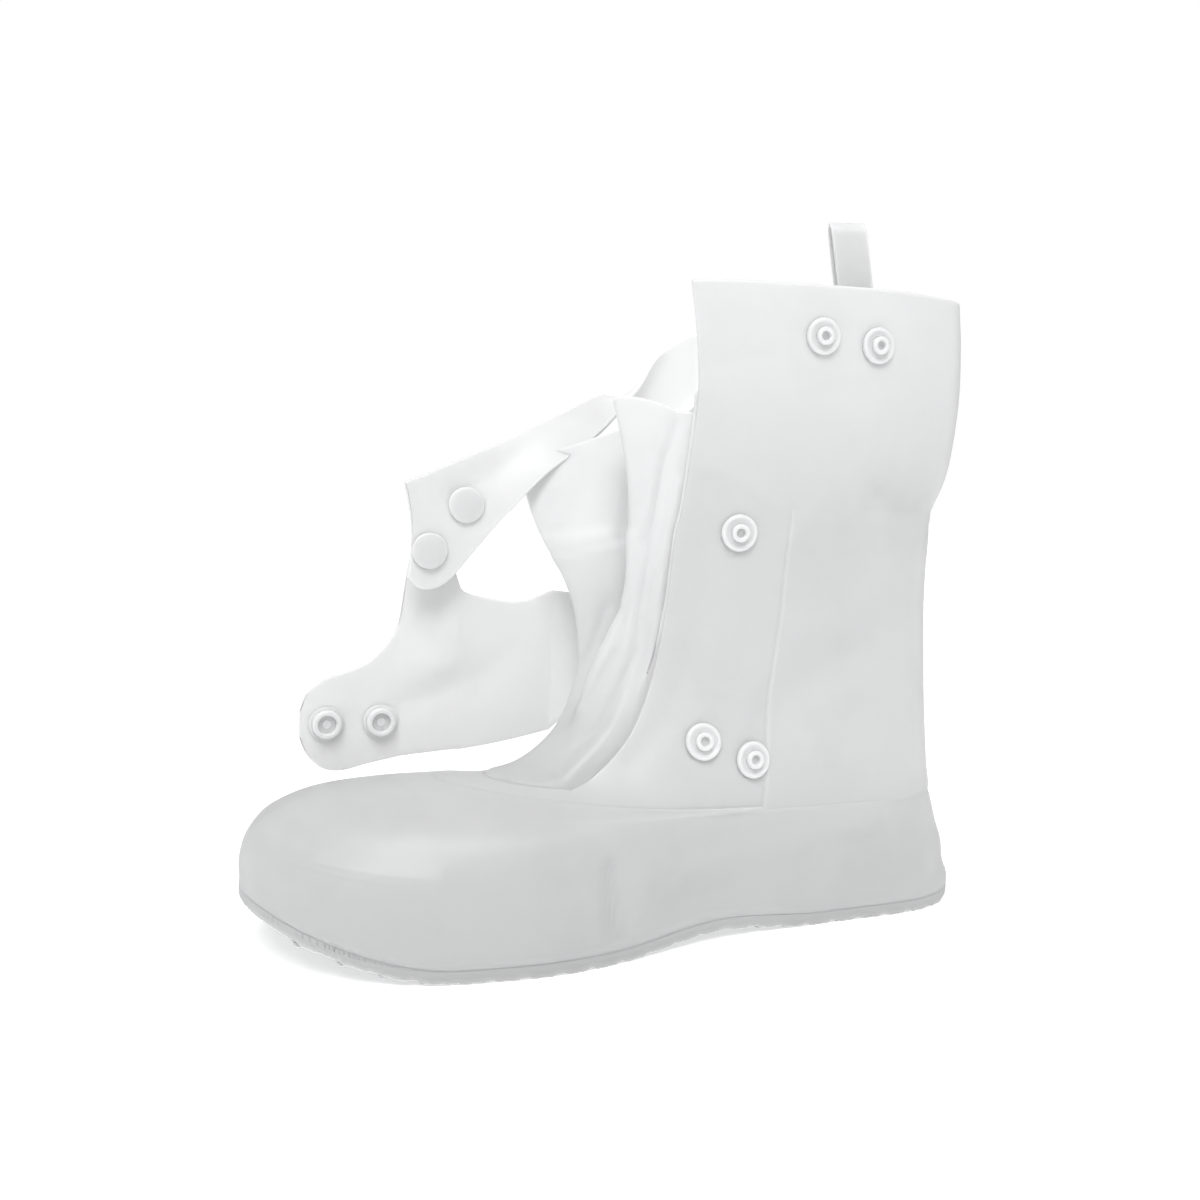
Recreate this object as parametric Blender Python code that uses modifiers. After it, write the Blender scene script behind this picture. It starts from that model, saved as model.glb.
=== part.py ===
"""Left silicone overshoe: upper, outsole, folded gusset, closure flap, pull loop and snaps.

Metres, +X towards the toe, +Y towards the shoe's lateral side, +Z up. The origin is on the
floor at the flat of the heel.
"""
import math
from collections import namedtuple

import bmesh
import bpy
import numpy as np
from mathutils import Matrix, Vector

# Driving sizes of the shoe
LENGTH = 0.290
HEEL_SEAT = 0.040
BALL_WIDTH = 0.104
HEEL_WIDTH = 0.072
INSTEP_HEIGHT = 0.0595
SHAFT_DEPTH = 0.142
SHAFT_WIDTH = 0.074
COLLAR_HEIGHT = 0.2445
TOE_SWING = 0.0065
WAIST_SWING = 0.0045

# Walls and clearances
WALL = 0.0018
FOOT_STEP = 0.0007
COUNTER_STEP = 0.0007
COUNTER_FRONT = 0.104
COUNTER_LEAN = 0.009
GUSSET_WALL = 0.0012
FLAP_WALL = 0.0016
GAP = 0.0003

# Outsole
SOLE_THICKNESS = 0.0045
SOLE_RAND = 0.0008
SEAT_SPARE = 0.0002
HEEL_FLANGE = 0.0035
HEEL_RISE = 0.0025
ARCH_RISE = 0.003
TOE_SPRING = 0.018
LUG_PITCH = 0.0123
LUG_LENGTH = 0.0078
LUG_FLANK = 0.0007
LUG_DEPTH = 0.0016
LUG_WAVE = 0.0035
EDGE_GROOVE = 0.35
EDGE_CHAMFER = 0.0006
SOLE_TIP = 0.014
SOLE_BLUNT = 0.0006
SOLE_ACROSS = (-1.0, -0.70, -0.35, 0.0, 0.35, 0.70, 1.0)

# Plain stations at the sole's ends, as shares of SOLE_TIP and of the tip's length, how much of a
# bar the tip is, and where along the sole the lugs' waves begin and end, with how fast they do
HEEL_STATIONS = (0.3, 0.6)
TIP_STATIONS = (0.25, 0.5, 0.75)
TIP_BAR = 0.6
WAVE_FROM, WAVE_TO = 0.1, 0.92
WAVE_GROWTH, WAVE_DECAY = 8, 12

# Folds of the gusset
GUSSET_TOP = 0.2015
NEAR_FOLD = 0.020
FAR_FOLD = 0.044
FAR_FOLD_DROP = 0.024
FOLD_VALLEY = 0.012
GUSSET_LAP = 2
GUSSET_SPARE = 0.0001

# Closure flap, upper strap and pull loop
TAB_REACH = 0.127
TAB_HEIGHT = 0.0905
TAB_LOW = 0.0545
TAB_OUT = 0.014
STRAP_REACH = 0.127
STRAP_DROP = 0.107
STRAP_TURN = 0.008
LOOP_RISE = 0.039
LOOP_WIDTH = 0.0165
LOOP_WALL = 0.0015
LOOP_LEAN = 0.006
LOOP_SWELL = 0.0006
LOOP_CELLS = 4
LOOP_PLACE = 0.0235

# Snaps
SNAP_RADIUS = 0.0070
SNAP_THICKNESS = 0.0016
SNAP_POST_RADIUS = 0.0022
SNAP_BOSS_RADIUS = 0.0034
SNAP_BOSS_RISE = 0.0030
SNAP_RECESS_RADIUS = 0.0018
SOCKET_RADIUS = 0.0056
SOCKET_RISE = 0.0034
SOCKET_RECESS_RADIUS = 0.0036
SNAP_STEPS = 12

# Length of a snap hole's drill in walls, and how far round a snap its seat is felt: the reach in
# snap radii, and steps along and across a lobe as shares of its length and width
DRILL_WALLS = 6
SEAT_REACH = 1.2
SEAT_STEPS = 12
ALONG_STEP, ACROSS_STEP = 1 / 60, 1 / 20

# The upper's sections, from the turned-in margin under the foot up to the collar. Foot rows are
# shares of LENGTH and INSTEP_HEIGHT, shaft rows shares of SHAFT_DEPTH and of the shaft's height
# over the instep. front and back are where the section ends, heel and waist its half widths as
# shares of half HEEL_WIDTH or SHAFT_WIDTH, ball as a share of half BALL_WIDTH or SHAFT_WIDTH.
# round_front and round_back are the shares of its length that close the ends, square their
# exponent, follow how far the row keeps to the sole's curve, dip how far its middle sags, and
# lateral and medial where the two quarters' front edges cross it.
Row = namedtuple(
    "Row",
    "front front_up back back_up heel waist ball round_front round_back square follow dip lateral medial",
)
FOOT_ROWS = (
    Row(0.938, 0.000, 0.052, 0.000, 0.60, 0.57, 0.71, 0.25, 0.15, 2.1, 1.00, 0.00, 0.93, 0.93),
    Row(0.983, 0.000, 0.008, 0.000, 0.93, 0.88, 0.93, 0.25, 0.15, 2.1, 1.00, 0.00, 0.93, 0.93),
    Row(0.991, 0.035, 0.001, 0.035, 0.97, 0.92, 0.97, 0.25, 0.15, 2.1, 0.95, 0.00, 0.93, 0.93),
    Row(1.000, 0.120, -0.003, 0.120, 1.00, 0.95, 1.00, 0.25, 0.15, 2.1, 0.85, 0.00, 0.93, 0.93),
    Row(1.000, 0.330, 0.000, 0.323, 1.01, 0.97, 1.00, 0.26, 0.15, 2.1, 0.65, 0.00, 0.93, 0.93),
    Row(0.990, 0.570, 0.009, 0.490, 0.98, 0.96, 0.96, 0.28, 0.16, 2.1, 0.40, 0.00, 0.92, 0.92),
    Row(0.966, 0.785, 0.014, 0.605, 0.96, 0.95, 0.90, 0.33, 0.17, 2.1, 0.15, 0.00, 0.92, 0.92),
    Row(0.924, 0.905, 0.018, 0.680, 0.95, 0.94, 0.82, 0.41, 0.18, 2.1, 0.05, 0.02, 0.91, 0.91),
    Row(0.858, 0.965, 0.021, 0.746, 0.94, 0.94, 0.75, 0.50, 0.20, 2.1, 0.00, 0.06, 0.90, 0.90),
    Row(0.772, 0.985, 0.023, 0.800, 0.93, 0.93, 0.72, 0.60, 0.22, 2.2, 0.00, 0.08, 0.89, 0.89),
    Row(0.700, 1.000, 0.028, 0.944, 0.92, 0.92, 0.67, 0.60, 0.25, 2.25, 0.00, 0.05, 0.882, 0.882),
)
SHAFT_ROWS = (
    Row(1.320, 0.024, 0.066, 0.043, 0.88, 0.89, 0.89, 0.60, 0.28, 2.3, 0.00, 0.01, 0.890, 0.890),
    Row(1.204, 0.092, 0.077, 0.140, 0.85, 0.88, 0.87, 0.60, 0.32, 2.4, 0.00, 0.00, 0.900, 0.900),
    Row(1.113, 0.205, 0.085, 0.249, 0.82, 0.88, 0.85, 0.58, 0.36, 2.5, 0.00, 0.00, 0.914, 0.914),
    Row(1.042, 0.346, 0.092, 0.378, 0.81, 0.89, 0.86, 0.55, 0.42, 2.6, 0.00, 0.00, 0.940, 0.940),
    Row(1.021, 0.486, 0.089, 0.492, 0.81, 0.91, 0.86, 0.50, 0.42, 2.7, 0.00, 0.00, 0.943, 0.935),
    Row(1.014, 0.545, 0.082, 0.545, 0.82, 0.92, 0.88, 0.50, 0.42, 2.7, 0.00, 0.00, 0.936, 0.880),
    Row(1.000, 0.649, 0.028, 0.643, 0.85, 0.96, 0.90, 0.50, 0.42, 2.7, 0.00, 0.00, 0.935, 0.800),
    Row(0.993, 0.784, 0.000, 0.784, 0.87, 0.99, 0.92, 0.50, 0.42, 2.7, 0.00, 0.00, 0.929, 0.720),
    Row(1.000, 0.905, 0.000, 0.908, 0.88, 1.00, 0.93, 0.50, 0.42, 2.7, 0.00, 0.00, 0.933, 0.695),
    Row(1.014, 1.000, 0.014, 1.016, 0.89, 1.00, 0.93, 0.50, 0.42, 2.7, 0.00, 0.00, 0.937, 0.680),
)
TOPLINE_ROW = 9
THROAT_ROW = 10
COUNTER_ROW = 16
COLLAR_ROW = 20
GUSSET_ROW = 18
STEP_RUN = 0.08
BACK_OF_EDGE = 0.74

# Stations along a section at which heel, waist and ball widths hold
WIDTH_STATIONS = (0.14, 0.40, 0.72)

# Levels of the upper's grid, as positions among its rows, and its cells between guide lines
LEVELS = (
    0, 1, 2, 3, 4, 5, 6, 7, 8, TOPLINE_ROW, TOPLINE_ROW + STEP_RUN, THROAT_ROW, 10.5, 11, 11.5, 12, 12.5,
    13, 13.5, 14, 15, COUNTER_ROW, COUNTER_ROW + STEP_RUN, 16.5, 17, 18, 18.35, 18.7,
    19, 19.35, COLLAR_ROW,
)
FRONT_CELLS = 9
QUARTER_CELLS = 7
BACK_CELLS = 10

# Levels of the pull loop's legs, shares of LOOP_RISE over the collar, and the step round the
# collar in which its place is found
LEG_LEVELS = (19.2, 19.35, 19.7, COLLAR_ROW)
LOOP_RISES = (0.25, 0.5, 0.75, 0.93)
LOOP_SEARCH = 0.005

# Levels between which the flap's root, its lower lobe and its strap leave the medial quarter
FLAP_FROM, FLAP_TO = 12.5, 19.35
LOBE_TOP, STRAP_FOOT = 14, 18
ROOT_CELLS = 4
LOBE_CELLS = 20
STRAP_CELLS = 24

# The lower lobe of the flap: shares of TAB_REACH ahead of the collar's front corner, shares of
# TAB_HEIGHT over the lobe's low tip for its two edges, and shares of TAB_OUT away from the foot
Lobe = namedtuple("Lobe", "ahead low high out")
LOWER_LOBE = (
    Lobe(0.220, 0.160, 0.790, 0.00),
    Lobe(0.320, 0.122, 0.740, 0.25),
    Lobe(0.417, 0.094, 0.751, 0.42),
    Lobe(0.496, 0.077, 0.779, 0.54),
    Lobe(0.516, 0.076, 0.829, 0.57),
    Lobe(0.531, 0.074, 0.906, 0.59),
    Lobe(0.555, 0.072, 0.967, 0.62),
    Lobe(0.598, 0.066, 1.000, 0.66),
    Lobe(0.644, 0.061, 0.978, 0.70),
    Lobe(0.669, 0.057, 0.917, 0.73),
    Lobe(0.683, 0.055, 0.807, 0.75),
    Lobe(0.701, 0.050, 0.641, 0.78),
    Lobe(0.740, 0.039, 0.541, 0.82),
    Lobe(0.800, 0.022, 0.464, 0.86),
    Lobe(0.870, 0.000, 0.425, 0.91),
    Lobe(0.929, 0.014, 0.398, 0.95),
    Lobe(0.976, 0.077, 0.343, 0.98),
    Lobe(1.000, 0.155, 0.260, 1.00),
)

# The upper strap, from its root to its tip. Each rib runs from the first edge, on top at the root,
# to the second: ahead as a share of STRAP_REACH, down as a share of STRAP_DROP below the root, and
# out as a share of STRAP_TURN away from the foot. The edges change places where it turns over.
Rib = namedtuple("Rib", "first_ahead first_down first_out second_ahead second_down second_out")
STRAP_RIBS = (
    Rib(0.055, 0.01, 0.0, 0.065, 0.30, 0.1),
    Rib(0.125, 0.06, -0.1, 0.155, 0.31, 0.2),
    Rib(0.190, 0.12, -0.4, 0.225, 0.32, 0.5),
    Rib(0.250, 0.21, -0.8, 0.290, 0.31, 0.8),
    Rib(0.315, 0.29, -1.1, 0.340, 0.285, 1.0),
    Rib(0.385, 0.37, -1.3, 0.410, 0.32, 1.05),
    Rib(0.465, 0.46, -1.2, 0.510, 0.37, 0.9),
    Rib(0.565, 0.575, -0.7, 0.650, 0.44, 0.6),
    Rib(0.700, 0.75, -0.2, 0.815, 0.525, 0.5),
    Rib(0.785, 0.87, 0.0, 0.895, 0.565, 0.45),
    Rib(0.850, 0.96, 0.1, 0.940, 0.59, 0.4),
    Rib(0.900, 1.00, 0.2, 0.965, 0.60, 0.4),
    Rib(0.950, 1.00, 0.2, 0.985, 0.61, 0.4),
    Rib(0.990, 0.96, 0.2, 1.000, 0.62, 0.4),
)

# Snaps on the lateral quarter, as shares of SHAFT_DEPTH forward and COLLAR_HEIGHT up
Spot = namedtuple("Spot", "forward up")
STUD_SPOTS = (
    Spot(0.430, 0.918),
    Spot(0.598, 0.926),
    Spot(0.812, 0.621),
    Spot(0.912, 0.302),
    Spot(0.770, 0.272),
)

# Snaps on the flap's lobes, as shares of the lobe's rows and columns
Seat = namedtuple("Seat", "lobe along across")
SOCKET_SEATS = (
    Seat("strap", 0.66, 0.47),
    Seat("strap", 0.846, 0.34),
    Seat("lower", 0.414, 0.895),
    Seat("lower", 0.72, 0.36),
    Seat("lower", 0.87, 0.50),
)


def smooth(t):
    """Eases from 0 to 1."""
    t = min(max(t, 0.0), 1.0)
    return t * t * (3.0 - 2.0 * t)


def spline(values, at):
    """Catmull-Rom through equally spaced values, which may be numbers or arrays."""
    last = len(values) - 1
    i = min(max(int(math.floor(at)), 0), last - 1)
    t = at - i
    p1, p2 = values[i], values[i + 1]
    p0 = values[i - 1] if i > 0 else 2 * p1 - p2
    p3 = values[i + 2] if i + 2 <= last else 2 * p2 - p1
    square = 2 * p0 - 5 * p1 + 4 * p2 - p3
    cube = 3 * p1 - p0 - 3 * p2 + p3
    return 0.5 * (2 * p1 + (p2 - p0) * t + square * t ** 2 + cube * t ** 3)


# The sole's curve and the upper's surface, with x measured from the heel's back

def sole_rise(x):
    """Height of the sole's underside over the floor, at x from the heel's back."""
    heel = HEEL_RISE * (1 - smooth(x / (0.30 * HEEL_SEAT)))
    arch_from, arch_to = 1.9 * HEEL_SEAT, 0.60 * LENGTH
    arch = 0.0
    if arch_from < x < arch_to:
        arch = ARCH_RISE * math.sin(math.pi * (x - arch_from) / (arch_to - arch_from)) ** 2
    spring_from = 0.79 * LENGTH
    spring = TOE_SPRING * max(0.0, (x - spring_from) / (LENGTH - spring_from)) ** 1.8
    return heel + arch + spring


def centre_line(x):
    """Sideways place of the foot's middle line: out at the waist, in at the toe."""
    share = x / LENGTH
    waist = WAIST_SWING * math.exp(-(((share - 0.50) / 0.20) ** 2))
    return waist - TOE_SWING * smooth((share - 0.60) / 0.40)


def sized_rows():
    """The table's rows in metres: foot rows first, then the shaft's."""
    base = SOLE_THICKNESS + GAP + SEAT_SPARE
    rows = []
    for row in FOOT_ROWS:
        rise = INSTEP_HEIGHT - base
        rows.append([row.front * LENGTH, base + row.front_up * rise, row.back * LENGTH,
                     base + row.back_up * rise, row.heel * HEEL_WIDTH / 2, row.waist * HEEL_WIDTH / 2,
                     row.ball * BALL_WIDTH / 2, row.round_front, row.round_back, row.square,
                     row.follow, row.dip * INSTEP_HEIGHT, row.lateral, row.medial, 1.0])
    for row in SHAFT_ROWS:
        rise = COLLAR_HEIGHT - INSTEP_HEIGHT
        rows.append([row.front * SHAFT_DEPTH, INSTEP_HEIGHT + row.front_up * rise, row.back * SHAFT_DEPTH,
                     INSTEP_HEIGHT + row.back_up * rise, row.heel * SHAFT_WIDTH / 2,
                     row.waist * SHAFT_WIDTH / 2, row.ball * SHAFT_WIDTH / 2, row.round_front,
                     row.round_back, row.square, row.follow, row.dip * INSTEP_HEIGHT, row.lateral,
                     row.medial, max(0.0, 1.0 - 4.0 * row.front_up)])
    return [np.array(row) for row in rows]


ROWS = sized_rows()


def section(level):
    """The section at a level, a position among the rows, as named sizes."""
    names = Row._fields + ("swing",)
    return dict(zip(names, spline(ROWS, level)))


def section_point(row, share, side):
    """Point of a section at a share of its length from the back, side +1 lateral or -1 medial."""
    share = min(max(share, 0.0), 1.0)
    heel_at, waist_at, ball_at = WIDTH_STATIONS
    if share < waist_at:
        grown = smooth((share - heel_at) / (waist_at - heel_at))
        half = row["heel"] + (row["waist"] - row["heel"]) * grown
    else:
        grown = smooth((share - waist_at) / (ball_at - waist_at))
        half = row["waist"] + (row["ball"] - row["waist"]) * grown
    away_front = (share - 1 + row["round_front"]) / row["round_front"]
    away_back = (row["round_back"] - share) / row["round_back"]
    away = max(away_front, away_back, 0.0)
    half *= max(0.0, 1 - away ** row["square"]) ** (1 / row["square"])
    x = row["back"] + share * (row["front"] - row["back"])
    up = row["back_up"] + share * (row["front_up"] - row["back_up"])
    up += row["follow"] * sole_rise(x) - row["dip"] * 4 * share * (1 - share)
    return np.array([x, side * half + row["swing"] * centre_line(x), up])


def wall_point(level, around):
    """Point of the upper's outer form. around runs from 0 at the middle of the front, by 1 at
    the quarter's front edge and 2 at the counter's, to 3 at the middle of the back, and is
    negative on the medial side."""
    around = (around + 3.0) % 6.0 - 3.0
    row = section(level)
    span = row["front"] - row["back"]
    edge = row["lateral"] if around >= 0 else row["medial"]
    counter = (COUNTER_FRONT - COUNTER_LEAN * row["back_up"] / COLLAR_HEIGHT - row["back"]) / span
    guides = (1.0, edge, min(counter, BACK_OF_EDGE * edge), 0.0)
    turns = [math.acos(2 * share - 1) for share in guides]
    which = min(int(abs(around)), 2)
    turn = turns[which] + (abs(around) - which) * (turns[which + 1] - turns[which])
    return section_point(row, (1 + math.cos(turn)) / 2, 1 if around >= 0 else -1)


def wall_normal(level, around):
    """Outward normal of the upper's form."""
    step = 0.02
    up = wall_point(min(level + step, COLLAR_ROW), around) - wall_point(level - step, around)
    turn = wall_point(level, around + step) - wall_point(level, around - step)
    normal = np.cross(turn, up)
    return normal / np.linalg.norm(normal)


def skin(level, around, offset):
    """Point of the upper's form moved along its normal."""
    return wall_point(level, around) + offset * wall_normal(level, around)


def step_height(level, around):
    """How far the thicker foot and heel counter stand out from the quarters."""
    foot = FOOT_STEP if level <= TOPLINE_ROW else 0.0
    counter = COUNTER_STEP if abs(around) > 2.0 and level <= COUNTER_ROW else 0.0
    return max(foot, counter)


def on_wall(forward, up, side):
    """Point and outward normal of the shaft's side at x from the heel's back and z."""

    def surface(x, z):
        low, high = float(THROAT_ROW), float(COLLAR_ROW)
        for _ in range(40):
            level = (low + high) / 2
            row = section(level)
            point = section_point(row, (x - row["back"]) / (row["front"] - row["back"]), side)
            if point[2] < z:
                low = level
            else:
                high = level
        return point

    step = 0.001
    along = surface(forward + step, up) - surface(forward - step, up)
    rise = surface(forward, up + step) - surface(forward, up - step)
    normal = np.cross(rise, along) * side
    return surface(forward, up), normal / np.linalg.norm(normal)


# Making objects

def material(name, colour, roughness, alpha):
    """A Principled material."""
    made = bpy.data.materials.new(name)
    made.use_nodes = True
    shader = made.node_tree.nodes["Principled BSDF"]
    shader.inputs["Base Color"].default_value = (*colour, 1.0)
    shader.inputs["Roughness"].default_value = roughness
    shader.inputs["Metallic"].default_value = 0.0
    shader.inputs["Alpha"].default_value = alpha
    made.diffuse_color = (*colour, 1.0)
    return made


def make_object(name, points, faces, collection, finish):
    """An object from points measured from the heel's back, and faces."""
    mesh = bpy.data.meshes.new(name)
    placed = [(x - HEEL_SEAT, y, z) for x, y, z in points]
    mesh.from_pydata(placed, [], faces)
    mesh.validate()
    mesh.shade_smooth()
    mesh.set_sharp_from_angle(angle=math.radians(35))
    made = bpy.data.objects.new(name, mesh)
    if finish:
        mesh.materials.append(finish)
    collection.objects.link(made)
    return made


def sheet(name, grid, cells, thickness, offset, collection, finish):
    """An open surface from a dictionary of grid points and its kept cells, made a solid wall."""
    order = {key: number for number, key in enumerate(sorted({key for cell in cells for key in cell}))}
    faces = [[order[key] for key in cell] for cell in cells]
    made = make_object(name, [grid[key] for key in order], faces, collection, finish)
    wall = made.modifiers.new("wall", "SOLIDIFY")
    wall.thickness = thickness
    wall.offset = offset
    wall.use_even_offset = True
    return made, order


def drill(target, places, depth, cutters):
    """Cuts a snap's round hole through a wall at each (place, normal)."""
    cutter_mesh = bpy.data.meshes.new(f"{target.name}_drill")
    form = bmesh.new()
    radius = SNAP_POST_RADIUS + GAP
    for place, normal in places:
        turn = Vector(normal).to_track_quat("Z", "Y").to_matrix().to_4x4()
        at = Matrix.Translation((place[0] - HEEL_SEAT, place[1], place[2]))
        bmesh.ops.create_cone(form, cap_ends=True, segments=SNAP_STEPS, radius1=radius, radius2=radius,
                              depth=depth, matrix=at @ turn)
    form.to_mesh(cutter_mesh)
    form.free()
    cutter = bpy.data.objects.new(f"{target.name}_drill", cutter_mesh)
    cutter.hide_render = True
    cutter.display_type = "WIRE"
    cutters.objects.link(cutter)
    cut = target.modifiers.new("snap holes", "BOOLEAN")
    cut.operation = "DIFFERENCE"
    cut.solver = "EXACT"
    cut.object = cutter


def turned(name, profile, place, normal, collection, finish):
    """A turned solid from (radius, height) points, down its outer side, along a normal."""
    mesh = bpy.data.meshes.new(name)
    points = [(radius, 0.0, height) for radius, height in profile]
    mesh.from_pydata(points, [(i, i + 1) for i in range(len(points) - 1)], [])
    mesh.materials.append(finish)
    made = bpy.data.objects.new(name, mesh)
    collection.objects.link(made)
    lathe = made.modifiers.new("lathe", "SCREW")
    lathe.axis = "Z"
    lathe.steps = SNAP_STEPS
    lathe.render_steps = SNAP_STEPS
    lathe.use_merge_vertices = True
    lathe.merge_threshold = 0.00005
    lathe.use_smooth_shade = False
    made.rotation_euler = Vector(normal).to_track_quat("Z", "Y").to_euler()
    made.location = (place[0] - HEEL_SEAT, place[1], place[2])
    return made


# The pieces

def upper_around():
    """Places of the upper's columns round the shoe."""
    half = []
    for start, cells in ((0, FRONT_CELLS), (1, QUARTER_CELLS), (2, BACK_CELLS)):
        half += [start + i / cells for i in range(cells)]
    step_back = 2.0 + STEP_RUN / 2
    half.insert(half.index(2.0) + 1, step_back)
    return half + [3.0] + [-a for a in reversed(half[1:])]


def make_upper(collection, cutters, finish):
    """Foot and quarters as one shell, open at the collar, at the throat and underneath."""
    columns = upper_around()
    count = len(columns)
    grid, cells = {}, []
    for i, level in enumerate(LEVELS):
        for j, around in enumerate(columns):
            grid[i, j] = skin(level, around, step_height(level, around) if level > 2 else 0.0)
    throat = LEVELS.index(THROAT_ROW)
    for i in range(len(LEVELS) - 1):
        for j in range(count):
            in_throat = abs(columns[j]) <= 1 and abs(columns[(j + 1) % count]) <= 1
            if i >= throat and in_throat:
                continue
            k = (j + 1) % count
            cells.append(((i, j), (i, k), (i + 1, k), (i + 1, j)))
    thickest = WALL + max(FOOT_STEP, COUNTER_STEP)
    upper, order = sheet("upper", grid, cells, thickest, -1.0, collection, finish)
    group = upper.vertex_groups.new(name="wall")
    for (i, j), number in order.items():
        extra = step_height(LEVELS[i], columns[j]) if LEVELS[i] > 2 else 0.0
        group.add([number], (WALL + extra) / thickest, "REPLACE")
    upper.modifiers["wall"].vertex_group = "wall"
    drill(upper, stud_places(), DRILL_WALLS * WALL, cutters)
    return upper


def sole_stations(back, front):
    """Places along the sole and how far each is a lug bar, from 0 in a groove to 1 on a bar."""
    first = HEEL_SEAT - 2 * LUG_PITCH
    bars = int((front - SOLE_TIP - first) / LUG_PITCH)
    stations = [(back + SOLE_BLUNT, 1.0)]
    stations += [(back + share * SOLE_TIP, 1.0) for share in HEEL_STATIONS]
    for bar in range(bars + 1):
        middle = first + bar * LUG_PITCH
        half = LUG_LENGTH / 2
        stations += [(middle - half - LUG_FLANK, 0.0), (middle - half, 1.0),
                     (middle + half, 1.0), (middle + half + LUG_FLANK, 0.0)]
    last = stations[-1][0]
    tip = [(last + (front - last) * share, TIP_BAR) for share in TIP_STATIONS]
    return stations + tip + [(front - SOLE_BLUNT, 1.0)]


def make_outsole(collection, finish):
    """Tread plate under the upper's outline, with wavy lug bars that pass through its flat spots."""
    row = section(3)
    back = row["back"] - HEEL_FLANGE
    front = row["front"] + SOLE_RAND
    stations = sole_stations(back, front)
    points, faces = [], []
    for x, bar in stations:
        share = (x - back) / (front - back)
        sides = [section_point(row, share, side)[1] + side * SOLE_RAND for side in (-1, 1)]
        middle, half = (sides[0] + sides[1]) / 2, (sides[1] - sides[0]) / 2
        grown = max(0.0, share - WAVE_FROM) * WAVE_GROWTH
        left = max(0.0, WAVE_TO - share) * WAVE_DECAY
        wave = LUG_WAVE * min(1.0, grown, left)
        for t in SOLE_ACROSS:
            edge = abs(t) == 1.0
            swing = wave * math.copysign((1 - math.cos(2 * math.pi * t)) / 2, t)
            groove = LUG_DEPTH * (1 - bar) * (EDGE_GROOVE if edge else 1.0)
            lift = sole_rise(x + swing) + groove + (EDGE_CHAMFER if edge else 0.0)
            points.append((x + swing, middle + half * t, lift))
        for t in (-1.0, 1.0):
            points.append((x, middle + half * t, sole_rise(x) + SOLE_THICKNESS))
    wide = len(SOLE_ACROSS) - 1
    low_side, high_side = wide + 1, wide + 2
    stride = wide + 3
    for i in range(len(stations) - 1):
        a, b = i * stride, (i + 1) * stride
        faces += [(a + j, a + j + 1, b + j + 1, b + j) for j in range(wide)]
        faces.append((a + low_side, b + low_side, b + high_side, a + high_side))
        faces.append((a, b, b + low_side, a + low_side))
        faces.append((a + wide, a + high_side, b + high_side, b + wide))
    heel_end = list(range(wide + 1)) + [high_side, low_side]
    toe_end = [(len(stations) - 1) * stride + j for j in heel_end]
    faces += [tuple(reversed(heel_end)), tuple(toe_end)]
    return make_object("outsole", points, faces, collection, finish)


def fold_reach(across, up):
    """How far the gusset's folds stand forward: across from -1 medial to 1 lateral, up from 0 to 1."""
    near = NEAR_FOLD * math.exp(-(((across - 0.22) / 0.20) ** 2)) * smooth(up * 3.5) * (1 - 0.15 * up)
    far = FAR_FOLD * math.exp(-(((across + 0.42) / 0.21) ** 2)) * up
    valleys = math.exp(-(((across - 0.62) / 0.13) ** 2)) + math.exp(-(((across + 0.08) / 0.12) ** 2))
    return near + far - FOLD_VALLEY * valleys * smooth(up * 3)


def make_gusset(collection, finish):
    """Bellows sheet inside the throat, with two folds that stand forward between the quarters."""
    inside = -(WALL + GAP + GUSSET_SPARE + GUSSET_WALL / 2)
    lap = [1 + i / QUARTER_CELLS for i in range(1, GUSSET_LAP + 1)]
    middle = [i / FRONT_CELLS for i in range(-FRONT_CELLS, FRONT_CELLS + 1)]
    columns = [-a for a in reversed(lap)] + middle + lap
    levels = [TOPLINE_ROW + STEP_RUN] + [v for v in LEVELS if THROAT_ROW <= v <= GUSSET_ROW]
    straight_top = section(GUSSET_ROW)["front_up"]
    grid, cells = {}, []
    for j, around in enumerate(columns):
        across = around / lap[-1]
        free = smooth((1.0 - abs(around)) / 0.30)
        drop = FAR_FOLD_DROP * smooth(0.05 - across / 0.42)
        for i, level in enumerate(levels):
            up = max(0.0, (level - THROAT_ROW) / (GUSSET_ROW - THROAT_ROW))
            point = skin(level, around, inside)
            point[0] += free * fold_reach(across, up)
            point[2] += free * up ** 3 * (GUSSET_TOP - straight_top - drop)
            grid[i, j] = point
    for i in range(len(levels) - 1):
        for j in range(len(columns) - 1):
            cells.append(((i, j), (i, j + 1), (i + 1, j + 1), (i + 1, j)))
    return sheet("gusset", grid, cells, GUSSET_WALL, 0.0, collection, finish)[0]


def lobe_point(along, across):
    """Point of the lower lobe: along from 0 at its root to 1 at its tip, across from its low edge."""
    rib = Lobe(*spline([np.array(row) for row in LOWER_LOBE], along * (len(LOWER_LOBE) - 1)))
    corner = wall_point(COLLAR_ROW, 1.0)
    low = TAB_LOW + TAB_HEIGHT * rib.low
    high = TAB_LOW + TAB_HEIGHT * rib.high
    out = -HEEL_WIDTH / 2 - TAB_OUT * rib.out
    return np.array([corner[0] + rib.ahead * TAB_REACH, out, low + across * (high - low)])


def strap_point(along, across):
    """Point of the upper strap: along from its root to its tip, across from its first edge."""
    rib = Rib(*spline([np.array(row) for row in STRAP_RIBS], along * (len(STRAP_RIBS) - 1)))
    root = wall_point(FLAP_TO, -1.0)
    size = np.array([STRAP_REACH, -STRAP_TURN, -STRAP_DROP])
    first = root + size * (rib.first_ahead, rib.first_out, rib.first_down)
    second = root + size * (rib.second_ahead, rib.second_out, rib.second_down)
    return first + across * (second - first)


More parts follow.
